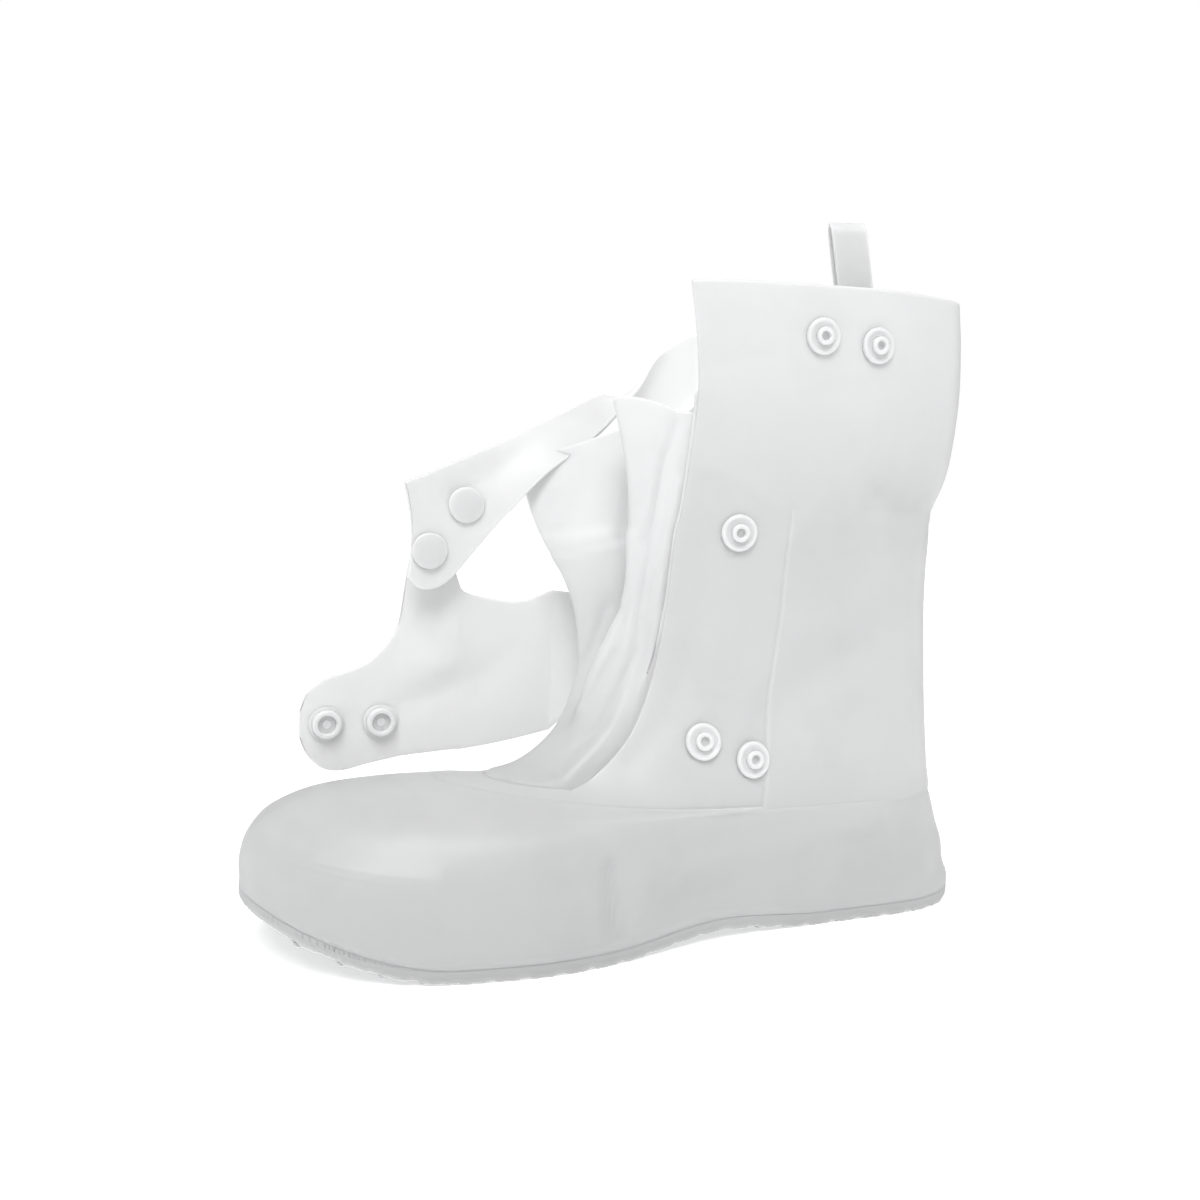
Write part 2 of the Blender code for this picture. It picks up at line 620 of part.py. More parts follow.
def sheet_normal(point_of, along, across):
    """Normal of a lobe's sheet, from its across and along directions."""
    step = 0.01
    forward = point_of(along + step, across) - point_of(along - step, across)
    rise = point_of(along, across + step) - point_of(along, across - step)
    normal = np.cross(rise, forward)
    return normal / np.linalg.norm(normal)


def make_flap(collection, cutters, finish):
    """The medial flap: a root strip over the quarter, an upper strap and a lower lobe."""
    levels = [v for v in LEVELS if FLAP_FROM <= v <= FLAP_TO and v != COUNTER_ROW + STEP_RUN]
    lobe_top, strap_foot, last = levels.index(LOBE_TOP), levels.index(STRAP_FOOT), len(levels) - 1
    on_upper = GAP + FLAP_WALL / 2
    grid, cells = {}, []
    for i, level in enumerate(levels):
        for j in range(ROOT_CELLS + 1):
            around = -1.0 - (ROOT_CELLS - j) / QUARTER_CELLS
            grid[i, j] = skin(level, around, on_upper)
        if i <= lobe_top:
            for j in range(LOBE_CELLS + 1):
                grid[i, ROOT_CELLS + 1 + j] = lobe_point(j / LOBE_CELLS, i / lobe_top)
        if i >= strap_foot:
            for j in range(STRAP_CELLS + 1):
                across = (last - i) / (last - strap_foot)
                grid[i, ROOT_CELLS + 1 + j] = strap_point(j / STRAP_CELLS, across)
    for i in range(last):
        reach = ROOT_CELLS
        if i < lobe_top:
            reach += 1 + LOBE_CELLS
        elif i >= strap_foot:
            reach += 1 + STRAP_CELLS
        for j in range(reach):
            cells.append(((i, j), (i, j + 1), (i + 1, j + 1), (i + 1, j)))
    flap = sheet("closure_flap", grid, cells, FLAP_WALL, 0.0, collection, finish)[0]
    drill(flap, [seat[:2] for seat in socket_places()], DRILL_WALLS * FLAP_WALL, cutters)
    return flap


def socket_places():
    """Place, inner normal and lobe of each socket on the flap."""
    places = []
    for seat in SOCKET_SEATS:
        point_of, face = (strap_point, -1) if seat.lobe == "strap" else (lobe_point, 1)
        normal = face * sheet_normal(point_of, seat.along, seat.across)
        places.append((point_of(seat.along, seat.across), normal, point_of, seat.along, seat.across))
    return places


def stud_places():
    """Place and outward normal of each stud on the lateral quarter."""
    return [on_wall(spot.forward * SHAFT_DEPTH, spot.up * COLLAR_HEIGHT, 1) for spot in STUD_SPOTS]


def make_pull_loop(collection, finish):
    """A band folded over the collar, one leg on each face of the wall, leaning to the toe."""
    middle = -3.0
    while wall_point(COLLAR_ROW, middle)[0] < LOOP_PLACE:
        middle += 2 * LOOP_SEARCH
    centre = wall_point(COLLAR_ROW, middle)
    reach = 2 * LOOP_SEARCH
    while np.linalg.norm(wall_point(COLLAR_ROW, middle + reach) - centre) < LOOP_WIDTH / 2:
        reach += LOOP_SEARCH
    columns = [middle + reach * (2 * j / LOOP_CELLS - 1) for j in range(LOOP_CELLS + 1)]
    tangent = wall_point(COLLAR_ROW, middle + reach) - wall_point(COLLAR_ROW, middle - reach)
    tangent /= np.linalg.norm(tangent)
    outer = GAP + LOOP_WALL / 2
    inner = -(WALL + 2 * GAP + LOOP_WALL / 2)

    def raised(around, offset, rise):
        lean = tangent * (LOOP_LEAN * rise)
        return skin(COLLAR_ROW, around, offset) + lean + np.array([0.0, 0.0, rise * LOOP_RISE])

    def leg(offset, swell):
        rows = [[skin(level, around, offset) for around in columns] for level in LEG_LEVELS]
        for rise in LOOP_RISES:
            puffed = offset + swell * math.sin(math.pi * rise)
            rows.append([raised(around, puffed, rise) for around in columns])
        return rows

    crown = [raised(around, (inner + outer) / 2, 1.0) for around in columns]
    band = leg(outer, LOOP_SWELL) + [crown] + leg(inner, -LOOP_SWELL)[::-1]
    grid = {(i, j): point for i, row in enumerate(band) for j, point in enumerate(row)}
    cells = []
    for i in range(len(band) - 1):
        for j in range(LOOP_CELLS):
            cells.append(((i, j), (i, j + 1), (i + 1, j + 1), (i + 1, j)))
    return sheet("pull_loop", grid, cells, LOOP_WALL, 0.0, collection, finish)[0]


def strays(place, normal, samples):
    """How far the samples under a snap stray from its seat, along its normal and against it."""
    reach = SEAT_REACH * SNAP_RADIUS
    near = [point for point in samples if np.linalg.norm(point - place) < reach]
    along = [float(np.dot(point - place, normal)) for point in near]
    return max(0.0, *along), max(0.0, *[-value for value in along])


def stud_profile(above, under):
    """Male snap from its hollow boss outside, through the wall, to its cap inside."""
    thin = SNAP_THICKNESS
    return (
        (0.0, above + thin * 0.5),
        (SNAP_RECESS_RADIUS, above + thin * 0.5),
        (SNAP_RECESS_RADIUS, above + SNAP_BOSS_RISE),
        (SNAP_BOSS_RADIUS, above + SNAP_BOSS_RISE),
        (SNAP_BOSS_RADIUS, above + thin * 0.7),
        (SNAP_RADIUS, above + thin),
        (SNAP_RADIUS, above),
        (SNAP_POST_RADIUS, above),
        (SNAP_POST_RADIUS, -under),
        (SNAP_RADIUS, -under),
        (SNAP_RADIUS * 0.8, -under - thin * 0.7),
        (0.0, -under - thin),
    )


def socket_profile(above, under):
    """Female snap from its open barrel on the inner face to its cap on the outer face."""
    thin = SNAP_THICKNESS
    return (
        (0.0, above + thin * 0.5),
        (SOCKET_RECESS_RADIUS, above + thin * 0.5),
        (SOCKET_RECESS_RADIUS, above + SOCKET_RISE),
        (SOCKET_RADIUS, above + SOCKET_RISE),
        (SOCKET_RADIUS, above),
        (SNAP_POST_RADIUS, above),
        (SNAP_POST_RADIUS, -under),
        (SNAP_RADIUS, -under),
        (SNAP_RADIUS * 0.8, -under - thin * 0.7),
        (0.0, -under - thin),
    )


def make_snaps(collection, finish):
    """Studs through the lateral quarter and sockets through the flap."""
    steps = [i * SNAP_RADIUS / 2 for i in range(-2, 3)]
    spread = range(-SEAT_STEPS, SEAT_STEPS + 1)
    for number, (place, normal) in enumerate(stud_places(), 1):
        samples = [on_wall(place[0] + dx, place[2] + dz, 1)[0] for dx in steps for dz in steps]
        above, under = strays(place, normal, samples)
        profile = stud_profile(GAP + above, WALL + GAP + under)
        turned(f"snap_stud_{number}", profile, place, normal, collection, finish)
    for number, (place, normal, point_of, along, across) in enumerate(socket_places(), 1):
        samples = [
            point_of(along + i * ALONG_STEP, across + j * ACROSS_STEP) for i in spread for j in spread
        ]
        above, under = strays(place, normal, samples)
        half = FLAP_WALL / 2 + GAP
        profile = socket_profile(half + above, half + under)
        turned(f"snap_socket_{number}", profile, place, normal, collection, finish)


def main():
    """Clears the scene and builds the shoe."""
    for thing in list(bpy.data.objects):
        bpy.data.objects.remove(thing, do_unlink=True)
    shoe = bpy.data.collections.new("silicone_overshoe")
    cutters = bpy.data.collections.new("cutters")
    for collection in (shoe, cutters):
        bpy.context.scene.collection.children.link(collection)
    silicone = material("silicone", (0.86, 0.87, 0.87), 0.42, 0.9)
    tread = material("tread_silicone", (0.78, 0.79, 0.79), 0.5, 1.0)
    resin = material("snap_resin", (0.90, 0.90, 0.90), 0.3, 1.0)
    make_upper(shoe, cutters, silicone)
    make_outsole(shoe, tread)
    make_gusset(shoe, silicone)
    make_flap(shoe, cutters, silicone)
    make_pull_loop(shoe, silicone)
    make_snaps(shoe, resin)


main()
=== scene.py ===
"""A milky silicone overshoe for the left foot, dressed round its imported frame.

Metres, +X towards the toe, +Y towards the shoe's lateral side, +Z up. The form's functions measure
x from the back of the heel, and every finished piece is set back by the heel seat's depth.
"""
from __future__ import annotations

import logging
import math
from dataclasses import dataclass, field
from enum import Enum
from typing import Callable, NamedTuple, Sequence

import bmesh
import bpy
import numpy as np
from mathutils import Matrix, Vector


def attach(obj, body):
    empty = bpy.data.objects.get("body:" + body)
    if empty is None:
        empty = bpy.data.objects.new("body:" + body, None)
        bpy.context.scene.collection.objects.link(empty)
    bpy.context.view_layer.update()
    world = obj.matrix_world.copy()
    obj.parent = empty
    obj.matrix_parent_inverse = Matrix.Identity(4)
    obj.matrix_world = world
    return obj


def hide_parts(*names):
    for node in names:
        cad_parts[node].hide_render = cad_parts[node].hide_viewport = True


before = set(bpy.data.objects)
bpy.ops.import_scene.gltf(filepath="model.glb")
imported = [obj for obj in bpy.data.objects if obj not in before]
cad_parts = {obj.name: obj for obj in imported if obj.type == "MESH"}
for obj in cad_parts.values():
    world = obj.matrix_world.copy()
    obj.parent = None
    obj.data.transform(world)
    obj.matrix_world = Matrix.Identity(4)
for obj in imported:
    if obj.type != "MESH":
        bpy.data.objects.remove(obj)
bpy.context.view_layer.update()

LOG = logging.getLogger("overshoe")
ROOT = "root"


class Side(Enum):
    """Sides of the shoe, by the sign of +Y."""

    LATERAL = 1
    MEDIAL = -1
    BOTH = 0


class Row(NamedTuple):
    """A section of the upper: its ends, half widths, roundness and guide lines, as shares."""

    front: float
    front_up: float
    back: float
    back_up: float
    heel: float
    waist: float
    ball: float
    round_front: float
    round_back: float
    square: float
    follow: float
    dip: float
    lateral: float
    medial: float


FOOT_ROWS = (
    Row(0.938, 0.000, 0.052, 0.000, 0.60, 0.57, 0.71, 0.25, 0.15, 2.1, 1.00, 0.00, 0.93, 0.93),
    Row(0.983, 0.000, 0.008, 0.000, 0.93, 0.88, 0.93, 0.25, 0.15, 2.1, 1.00, 0.00, 0.93, 0.93),
    Row(0.991, 0.035, 0.001, 0.035, 0.97, 0.92, 0.97, 0.25, 0.15, 2.1, 0.95, 0.00, 0.93, 0.93),
    Row(1.000, 0.120, -0.003, 0.120, 1.00, 0.95, 1.00, 0.25, 0.15, 2.1, 0.85, 0.00, 0.93, 0.93),
    Row(1.000, 0.330, 0.000, 0.323, 1.01, 0.97, 1.00, 0.26, 0.15, 2.1, 0.65, 0.00, 0.93, 0.93),
    Row(0.990, 0.570, 0.009, 0.490, 0.98, 0.96, 0.96, 0.28, 0.16, 2.1, 0.40, 0.00, 0.92, 0.92),
    Row(0.966, 0.785, 0.014, 0.605, 0.96, 0.95, 0.90, 0.33, 0.17, 2.1, 0.15, 0.00, 0.92, 0.92),
    Row(0.924, 0.905, 0.018, 0.680, 0.95, 0.94, 0.82, 0.41, 0.18, 2.1, 0.05, 0.02, 0.91, 0.91),
    Row(0.858, 0.965, 0.021, 0.746, 0.94, 0.94, 0.75, 0.50, 0.20, 2.1, 0.00, 0.06, 0.90, 0.90),
    Row(0.772, 0.985, 0.023, 0.800, 0.93, 0.93, 0.72, 0.60, 0.22, 2.2, 0.00, 0.08, 0.89, 0.89),
    Row(0.700, 1.000, 0.028, 0.944, 0.92, 0.92, 0.67, 0.60, 0.25, 2.25, 0.00, 0.05, 0.882, 0.882),
)
SHAFT_ROWS = (
    Row(1.320, 0.024, 0.066, 0.043, 0.88, 0.89, 0.89, 0.60, 0.28, 2.3, 0.00, 0.01, 0.890, 0.890),
    Row(1.204, 0.092, 0.077, 0.140, 0.85, 0.88, 0.87, 0.60, 0.32, 2.4, 0.00, 0.00, 0.900, 0.900),
    Row(1.113, 0.205, 0.085, 0.249, 0.82, 0.88, 0.85, 0.58, 0.36, 2.5, 0.00, 0.00, 0.914, 0.914),
    Row(1.042, 0.346, 0.092, 0.378, 0.81, 0.89, 0.86, 0.55, 0.42, 2.6, 0.00, 0.00, 0.940, 0.940),
    Row(1.021, 0.486, 0.089, 0.492, 0.81, 0.91, 0.86, 0.50, 0.42, 2.7, 0.00, 0.00, 0.943, 0.935),
    Row(1.014, 0.545, 0.082, 0.545, 0.82, 0.92, 0.88, 0.50, 0.42, 2.7, 0.00, 0.00, 0.936, 0.880),
    Row(1.000, 0.649, 0.028, 0.643, 0.85, 0.96, 0.90, 0.50, 0.42, 2.7, 0.00, 0.00, 0.935, 0.800),
    Row(0.993, 0.784, 0.000, 0.784, 0.87, 0.99, 0.92, 0.50, 0.42, 2.7, 0.00, 0.00, 0.929, 0.720),
    Row(1.000, 0.905, 0.000, 0.908, 0.88, 1.00, 0.93, 0.50, 0.42, 2.7, 0.00, 0.00, 0.933, 0.695),
    Row(1.014, 1.000, 0.014, 1.016, 0.89, 1.00, 0.93, 0.50, 0.42, 2.7, 0.00, 0.00, 0.937, 0.680),
)
SOLE_ROW = 3.0
TOPLINE_ROW = 9
THROAT_ROW = 10
COUNTER_ROW = 16
GUSSET_ROW = 18
COLLAR_ROW = 20
BACK_OF_EDGE = 0.74
WIDTH_STATIONS = (0.14, 0.40, 0.72)
STEP_SHARES = (0.0, 0.25, 0.5, 0.75, 1.0)
NORMAL_ROWS = 0.4
NORMAL_STEP = 0.02
HALVINGS = 40
MERGE = 1e-6


class LobeRib(NamedTuple):
    """A rib of the flap's lower lobe, as shares of its reach, height and lean."""

    ahead: float
    low: float
    high: float
    out: float


LOWER_LOBE = (
    LobeRib(0.220, 0.160, 0.790, 0.00),
    LobeRib(0.320, 0.122, 0.740, 0.25),
    LobeRib(0.417, 0.094, 0.751, 0.42),
    LobeRib(0.496, 0.077, 0.779, 0.54),
    LobeRib(0.516, 0.076, 0.829, 0.57),
    LobeRib(0.531, 0.074, 0.906, 0.59),
    LobeRib(0.555, 0.072, 0.967, 0.62),
    LobeRib(0.598, 0.066, 1.000, 0.66),
    LobeRib(0.644, 0.061, 0.978, 0.70),
    LobeRib(0.669, 0.057, 0.917, 0.73),
    LobeRib(0.683, 0.055, 0.807, 0.75),
    LobeRib(0.701, 0.050, 0.641, 0.78),
    LobeRib(0.740, 0.039, 0.541, 0.82),
    LobeRib(0.800, 0.022, 0.464, 0.86),
    LobeRib(0.870, 0.000, 0.425, 0.91),
    LobeRib(0.929, 0.014, 0.398, 0.95),
    LobeRib(0.976, 0.077, 0.343, 0.98),
    LobeRib(1.000, 0.155, 0.260, 1.00),
)


class StrapRib(NamedTuple):
    """A rib of the upper strap, from one edge to the other, as shares of its reach, drop and turn."""

    first_ahead: float
    first_down: float
    first_out: float
    second_ahead: float
    second_down: float
    second_out: float


STRAP_RIBS = (
    StrapRib(0.055, 0.01, 0.0, 0.065, 0.30, 0.1),
    StrapRib(0.125, 0.06, -0.1, 0.155, 0.31, 0.2),
    StrapRib(0.190, 0.12, -0.4, 0.225, 0.32, 0.5),
    StrapRib(0.250, 0.225, -0.8, 0.285, 0.295, 0.8),
    StrapRib(0.315, 0.310, -1.1, 0.330, 0.265, 1.0),
    StrapRib(0.385, 0.395, -1.3, 0.405, 0.305, 1.05),
    StrapRib(0.465, 0.480, -1.2, 0.510, 0.365, 0.9),
    StrapRib(0.565, 0.575, -0.7, 0.650, 0.44, 0.6),
    StrapRib(0.700, 0.75, -0.2, 0.815, 0.525, 0.5),
    StrapRib(0.785, 0.87, 0.0, 0.895, 0.565, 0.45),
    StrapRib(0.850, 0.96, 0.1, 0.940, 0.59, 0.4),
    StrapRib(0.900, 1.00, 0.2, 0.965, 0.60, 0.4),
    StrapRib(0.950, 1.00, 0.2, 0.985, 0.61, 0.4),
    StrapRib(0.990, 0.96, 0.2, 1.000, 0.62, 0.4),
)


class Crease(NamedTuple):
    """A soft trough, or a ridge where its depth is negative, along a line seen from the side."""

    side: Side
    line: tuple[tuple[float, float], ...]
    width: float
    depth: float


# Lines are x from the heel's back and height, in metres
UPPER_CREASES = (
    # heel and ankle
    Crease(Side.LATERAL, ((0.102, 0.083), (0.086, 0.095), (0.058, 0.107)), 0.010, 0.0026),
    Crease(Side.LATERAL, ((0.084, 0.070), (0.060, 0.069)), 0.013, -0.0030),
    Crease(Side.LATERAL, ((0.060, 0.040), (0.044, 0.054), (0.030, 0.068)), 0.008, -0.0016),
    Crease(Side.LATERAL, ((0.088, 0.122), (0.070, 0.131), (0.046, 0.134)), 0.011, -0.0016),
    # foot side
    Crease(Side.LATERAL, ((0.150, 0.032), (0.104, 0.035), (0.068, 0.040), (0.049, 0.042)), 0.006, -0.0012),
    Crease(Side.LATERAL, ((0.150, 0.018), (0.104, 0.020), (0.068, 0.026), (0.049, 0.028)), 0.009, 0.0016),
    Crease(Side.LATERAL, ((0.174, 0.034), (0.173, 0.018), (0.173, 0.003)), 0.0045, 0.0026),
    Crease(Side.LATERAL, ((0.186, 0.034), (0.184, 0.012)), 0.007, -0.0012),
    Crease(Side.LATERAL, ((0.162, 0.034), (0.163, 0.012)), 0.006, -0.0010),
    # toe
    Crease(Side.LATERAL, ((0.281, 0.044), (0.273, 0.040), (0.262, 0.036), (0.236, 0.034)), 0.005, -0.0014),
    Crease(Side.LATERAL, ((0.276, 0.026), (0.262, 0.023), (0.236, 0.021)), 0.008, 0.0013),
    Crease(Side.BOTH, ((0.262, 0.056), (0.240, 0.058), (0.215, 0.060)), 0.012, -0.0006),
    # quarter and hollow over the counter
    Crease(Side.LATERAL, ((0.054, 0.166), (0.041, 0.163), (0.028, 0.164)), 0.008, 0.0032),
    Crease(Side.LATERAL, ((0.127, 0.177), (0.110, 0.169), (0.099, 0.163)), 0.004, -0.0010),
    Crease(Side.LATERAL, ((0.130, 0.148), (0.132, 0.110), (0.141, 0.084), (0.158, 0.066)), 0.006, 0.0010),
    Crease(Side.LATERAL, ((0.100, 0.205), (0.070, 0.199), (0.046, 0.203)), 0.012, -0.0012),
    # the hidden side, after the same manner
    Crease(Side.MEDIAL, ((0.090, 0.162), (0.060, 0.160), (0.034, 0.162)), 0.008, 0.0024),
    Crease(Side.MEDIAL, ((0.104, 0.090), (0.082, 0.103), (0.055, 0.112)), 0.010, 0.0022),
    Crease(Side.MEDIAL, ((0.086, 0.072), (0.058, 0.070)), 0.013, -0.0026),
    Crease(Side.MEDIAL, ((0.058, 0.049), (0.044, 0.058), (0.029, 0.066)), 0.005, 0.0018),
    Crease(Side.MEDIAL, ((0.188, 0.036), (0.185, 0.006)), 0.005, 0.0022),
    Crease(Side.MEDIAL, ((0.160, 0.020), (0.104, 0.022), (0.060, 0.028)), 0.009, 0.0015),
    Crease(Side.MEDIAL, ((0.276, 0.042), (0.262, 0.037), (0.236, 0.035)), 0.006, -0.0013),
)
GUSSET_CREASES = (
    Crease(Side.MEDIAL, ((0.136, 0.149), (0.150, 0.144), (0.163, 0.140), (0.180, 0.136)), 0.0016, -0.0004),
    Crease(Side.BOTH, ((0.137, 0.192), (0.141, 0.170), (0.146, 0.148)), 0.0022, 0.0011),
    Crease(Side.LATERAL, ((0.130, 0.150), (0.137, 0.110), (0.148, 0.082), (0.163, 0.064)), 0.0018, 0.0009),
    Crease(Side.LATERAL, ((0.135, 0.170), (0.138, 0.150), (0.143, 0.104), (0.155, 0.077), (0.172, 0.059)),
           0.0018, -0.0009),
    Crease(Side.LATERAL, ((0.141, 0.180), (0.144, 0.146), (0.150, 0.106), (0.163, 0.080), (0.182, 0.062)),
           0.0018, 0.0009),
    Crease(Side.LATERAL, ((0.150, 0.150), (0.157, 0.110), (0.172, 0.084), (0.190, 0.066)), 0.0022, -0.0008),
    Crease(Side.BOTH, ((0.152, 0.122), (0.158, 0.104), (0.168, 0.088)), 0.0022, 0.0008),
)
FLAP_CREASES = (
    Crease(Side.BOTH, ((0.170, 0.128), (0.176, 0.105), (0.190, 0.085)), 0.008, -0.0016),
    Crease(Side.BOTH, ((0.196, 0.120), (0.208, 0.098)), 0.010, 0.0016),
    Crease(Side.BOTH, ((0.176, 0.098), (0.200, 0.088), (0.222, 0.080)), 0.006, -0.0010),
    Crease(Side.BOTH, ((0.160, 0.190), (0.185, 0.176), (0.205, 0.164)), 0.006, -0.0012),
)


def ease(t: np.ndarray | float) -> np.ndarray:
    """Eases from 0 to 1 as t does."""
    t = np.clip(t, 0.0, 1.0)
    return t * t * (3.0 - 2.0 * t)


def spline(values: np.ndarray, at: np.ndarray) -> np.ndarray:
    """Catmull-Rom through equally spaced rows.

    Args:
        values: one row for each knot.
        at: positions among the knots.

    Returns:
        One row for each position.
    """
    last = len(values) - 1
    i = np.clip(np.floor(at).astype(int), 0, last - 1)
    t = (at - i)[:, None]
    p1, p2 = values[i], values[i + 1]
    p0 = np.where((i > 0)[:, None], values[np.maximum(i - 1, 0)], 2 * p1 - p2)
    p3 = np.where((i + 2 <= last)[:, None], values[np.minimum(i + 2, last)], 2 * p2 - p1)
    cubic = 3 * p1 - p0 - 3 * p2 + p3
    return 0.5 * (2 * p1 + (p2 - p0) * t + (2 * p0 - 5 * p1 + 4 * p2 - p3) * t**2 + cubic * t**3)


def crease_depth(creases: Sequence[Crease], points: np.ndarray, side: np.ndarray) -> np.ndarray:
    """How far creases sink the points of a surface.

    Args:
        creases: the creases.
        points: grid of points, x from the heel's back.
        side: +1 or -1 for each column of the grid.

    Returns:
        A depth for each point of the grid.
    """
    depth = np.zeros(points.shape[:2])
    seen = points[..., (0, 2)]
    for crease in creases:
        nearest = np.full(depth.shape, np.inf)
        for start, end in zip(crease.line, crease.line[1:]):
            start, end = np.array(start), np.array(end)
            along = end - start
            share = np.clip(((seen - start) @ along) / (along @ along), 0.0, 1.0)
            gap = np.linalg.norm(seen - start - share[..., None] * along, axis=-1)
            nearest = np.minimum(nearest, gap)
        held = 1.0 if crease.side is Side.BOTH else (side == crease.side.value)
        depth += crease.depth * np.exp(-((nearest / crease.width) ** 2)) * held
    return depth


@dataclass
class OvershoeForm:
    """The form that every soft piece follows, from the shoe's driving sizes."""

    length: float = 0.290
    heel_seat: float = 0.040
    ball_width: float = 0.104
    heel_width: float = 0.072
    instep_height: float = 0.0595
    shaft_depth: float = 0.142
    shaft_width: float = 0.074
    collar_height: float = 0.2445
    toe_swing: float = 0.0065
    waist_swing: float = 0.0045
    sole_thickness: float = 0.0045
    seat_gap: float = 0.0005
    heel_rise: float = 0.0025
    arch_rise: float = 0.003
    toe_spring: float = 0.018
    heel_run: float = 0.30
    arch_from: float = 1.9
    arch_to: float = 0.60
    spring_from: float = 0.79
    spring_curve: float = 1.8
    waist_at: float = 0.50
    waist_run: float = 0.20
    toe_from: float = 0.60
    toe_run: float = 0.40
    counter_front: float = 0.111
    counter_lean: float = 0.025
    rows: np.ndarray = field(init=False)

    def __post_init__(self) -> None:
        """Works out the table's rows in metres."""
        base = self.sole_thickness + self.seat_gap
        rise = self.instep_height - base
        rows = []
        for row in FOOT_ROWS:
            rows.append((
                row.front * self.length, base + row.front_up * rise, row.back * self.length,
                base + row.back_up * rise, row.heel * self.heel_width / 2, row.waist * self.heel_width / 2,
                row.ball * self.ball_width / 2, *row[7:11], row.dip * self.instep_height, *row[12:], 1.0,
            ))
        shaft = self.collar_height - self.instep_height
        half = self.shaft_width / 2
        for row in SHAFT_ROWS:
            rows.append((
                row.front * self.shaft_depth, self.instep_height + row.front_up * shaft,
                row.back * self.shaft_depth, self.instep_height + row.back_up * shaft, row.heel * half,
                row.waist * half, row.ball * half, *row[7:11], row.dip * self.instep_height, *row[12:],
                max(0.0, 1.0 - 4.0 * row.front_up),
            ))
        self.rows = np.array(rows)

    def sole_rise(self, x: np.ndarray) -> np.ndarray:
        """Height of the sole's underside at x from the heel's back.

        Args:
            x: places from the heel's back.

        Returns:
            A height for each place.
        """
        x = np.asarray(x, float)
        heel = self.heel_rise * (1 - ease(x / (self.heel_run * self.heel_seat)))
        start, end = self.arch_from * self.heel_seat, self.arch_to * self.length
        arch = self.arch_rise * np.sin(np.pi * np.clip((x - start) / (end - start), 0.0, 1.0)) ** 2
        start = self.spring_from * self.length
        ahead = np.clip((x - start) / (self.length - start), 0.0, None)
        return heel + arch + self.toe_spring * ahead ** self.spring_curve

    def centre_line(self, x: np.ndarray) -> np.ndarray:
        """Sideways place of the foot's middle line.

        Args:
            x: places from the heel's back.

        Returns:
            A sideways place for each, positive towards the lateral side.
        """
        share = np.asarray(x, float) / self.length
        waist = self.waist_swing * np.exp(-(((share - self.waist_at) / self.waist_run) ** 2))
        return waist - self.toe_swing * ease((share - self.toe_from) / self.toe_run)

    def section(self, levels: np.ndarray) -> dict[str, np.ndarray]:
        """Named sizes of the sections at some levels, each as a column."""
        values = spline(self.rows, np.atleast_1d(np.asarray(levels, float)))
        return {name: values[:, i:i + 1] for i, name in enumerate(Row._fields + ("swing",))}

    def section_points(self, row: dict[str, np.ndarray], share: np.ndarray, side: np.ndarray) -> np.ndarray:
        """Points of sections at shares of their length.

        Args:
            row: named sizes, as section gives them.
            share: shares from the back, a row for each section.
            side: +1 lateral or -1 medial, for each column.

        Returns:
            Grid of points.
        """
        share = np.clip(share, 0.0, 1.0)
        heel_at, waist_at, ball_at = WIDTH_STATIONS
        behind = row["heel"] + (row["waist"] - row["heel"]) * ease((share - heel_at) / (waist_at - heel_at))
        ahead = row["waist"] + (row["ball"] - row["waist"]) * ease((share - waist_at) / (ball_at - waist_at))
        half = np.where(share < waist_at, behind, ahead)
        front = (share - 1 + row["round_front"]) / row["round_front"]
        back = (row["round_back"] - share) / row["round_back"]
        away = np.maximum(np.maximum(front, back), 0.0)
        half = half * np.maximum(0.0, 1 - away ** row["square"]) ** (1 / row["square"])
        x = row["back"] + share * (row["front"] - row["back"])
        up = row["back_up"] + share * (row["front_up"] - row["back_up"])
        up = up + row["follow"] * self.sole_rise(x) - row["dip"] * 4 * share * (1 - share)
        return np.stack((x, side * half + row["swing"] * self.centre_line(x), up), axis=-1)

    def wall(self, levels: np.ndarray, around: np.ndarray) -> np.ndarray:
        """Grid of points of the outer form.

        Args:
            levels: positions among the rows.
            around: 0 at the middle of the front, 1 at the quarter's front edge, 2 at the counter's
                and 3 at the middle of the back, negative on the medial side.

        Returns:
            Grid of points, a row for each level.
        """
        around = (np.asarray(around, float) + 3.0) % 6.0 - 3.0
        row = self.section(levels)
        edge = np.where(around >= 0, row["lateral"], row["medial"])
        reach = self.counter_front - self.counter_lean * row["back_up"] / self.collar_height
        counter = (reach - row["back"]) / (row["front"] - row["back"])
        counter = np.minimum(counter, BACK_OF_EDGE * edge)
        guides = (np.ones_like(edge), edge, counter + 0 * edge, np.zeros_like(edge))
        turns = np.arccos(2 * np.stack(guides) - 1)
        which = np.minimum(np.abs(around).astype(int), 2)
        columns = np.arange(len(which))
        start = turns[which, :, columns].T
        end = turns[which + 1, :, columns].T
        turn = start + (np.abs(around) - which) * (end - start)
        return self.section_points(row, (1 + np.cos(turn)) / 2, np.where(around >= 0, 1.0, -1.0))

    def skin(self, levels: np.ndarray, around: np.ndarray, offset: np.ndarray | float) -> np.ndarray:
        """Grid of points of the form, moved along its normals by an offset.

        Args:
            levels: positions among the rows.
            around: places round the shoe, as wall takes them.
            offset: how far to move outward, one number or one for each point.

        Returns:
            Grid of points, a row for each level.
        """
        levels, around = np.atleast_1d(np.asarray(levels, float)), np.asarray(around, float)
        above = np.minimum(levels + NORMAL_ROWS, COLLAR_ROW)
        up = self.wall(above, around) - self.wall(levels - NORMAL_ROWS, around)
        turn = self.wall(levels, around + NORMAL_STEP) - self.wall(levels, around - NORMAL_STEP)
        normal = np.cross(turn, up)
        normal /= np.linalg.norm(normal, axis=-1, keepdims=True)
        offset = np.asarray(offset, float)
        return self.wall(levels, around) + (offset[..., None] if offset.ndim else offset) * normal

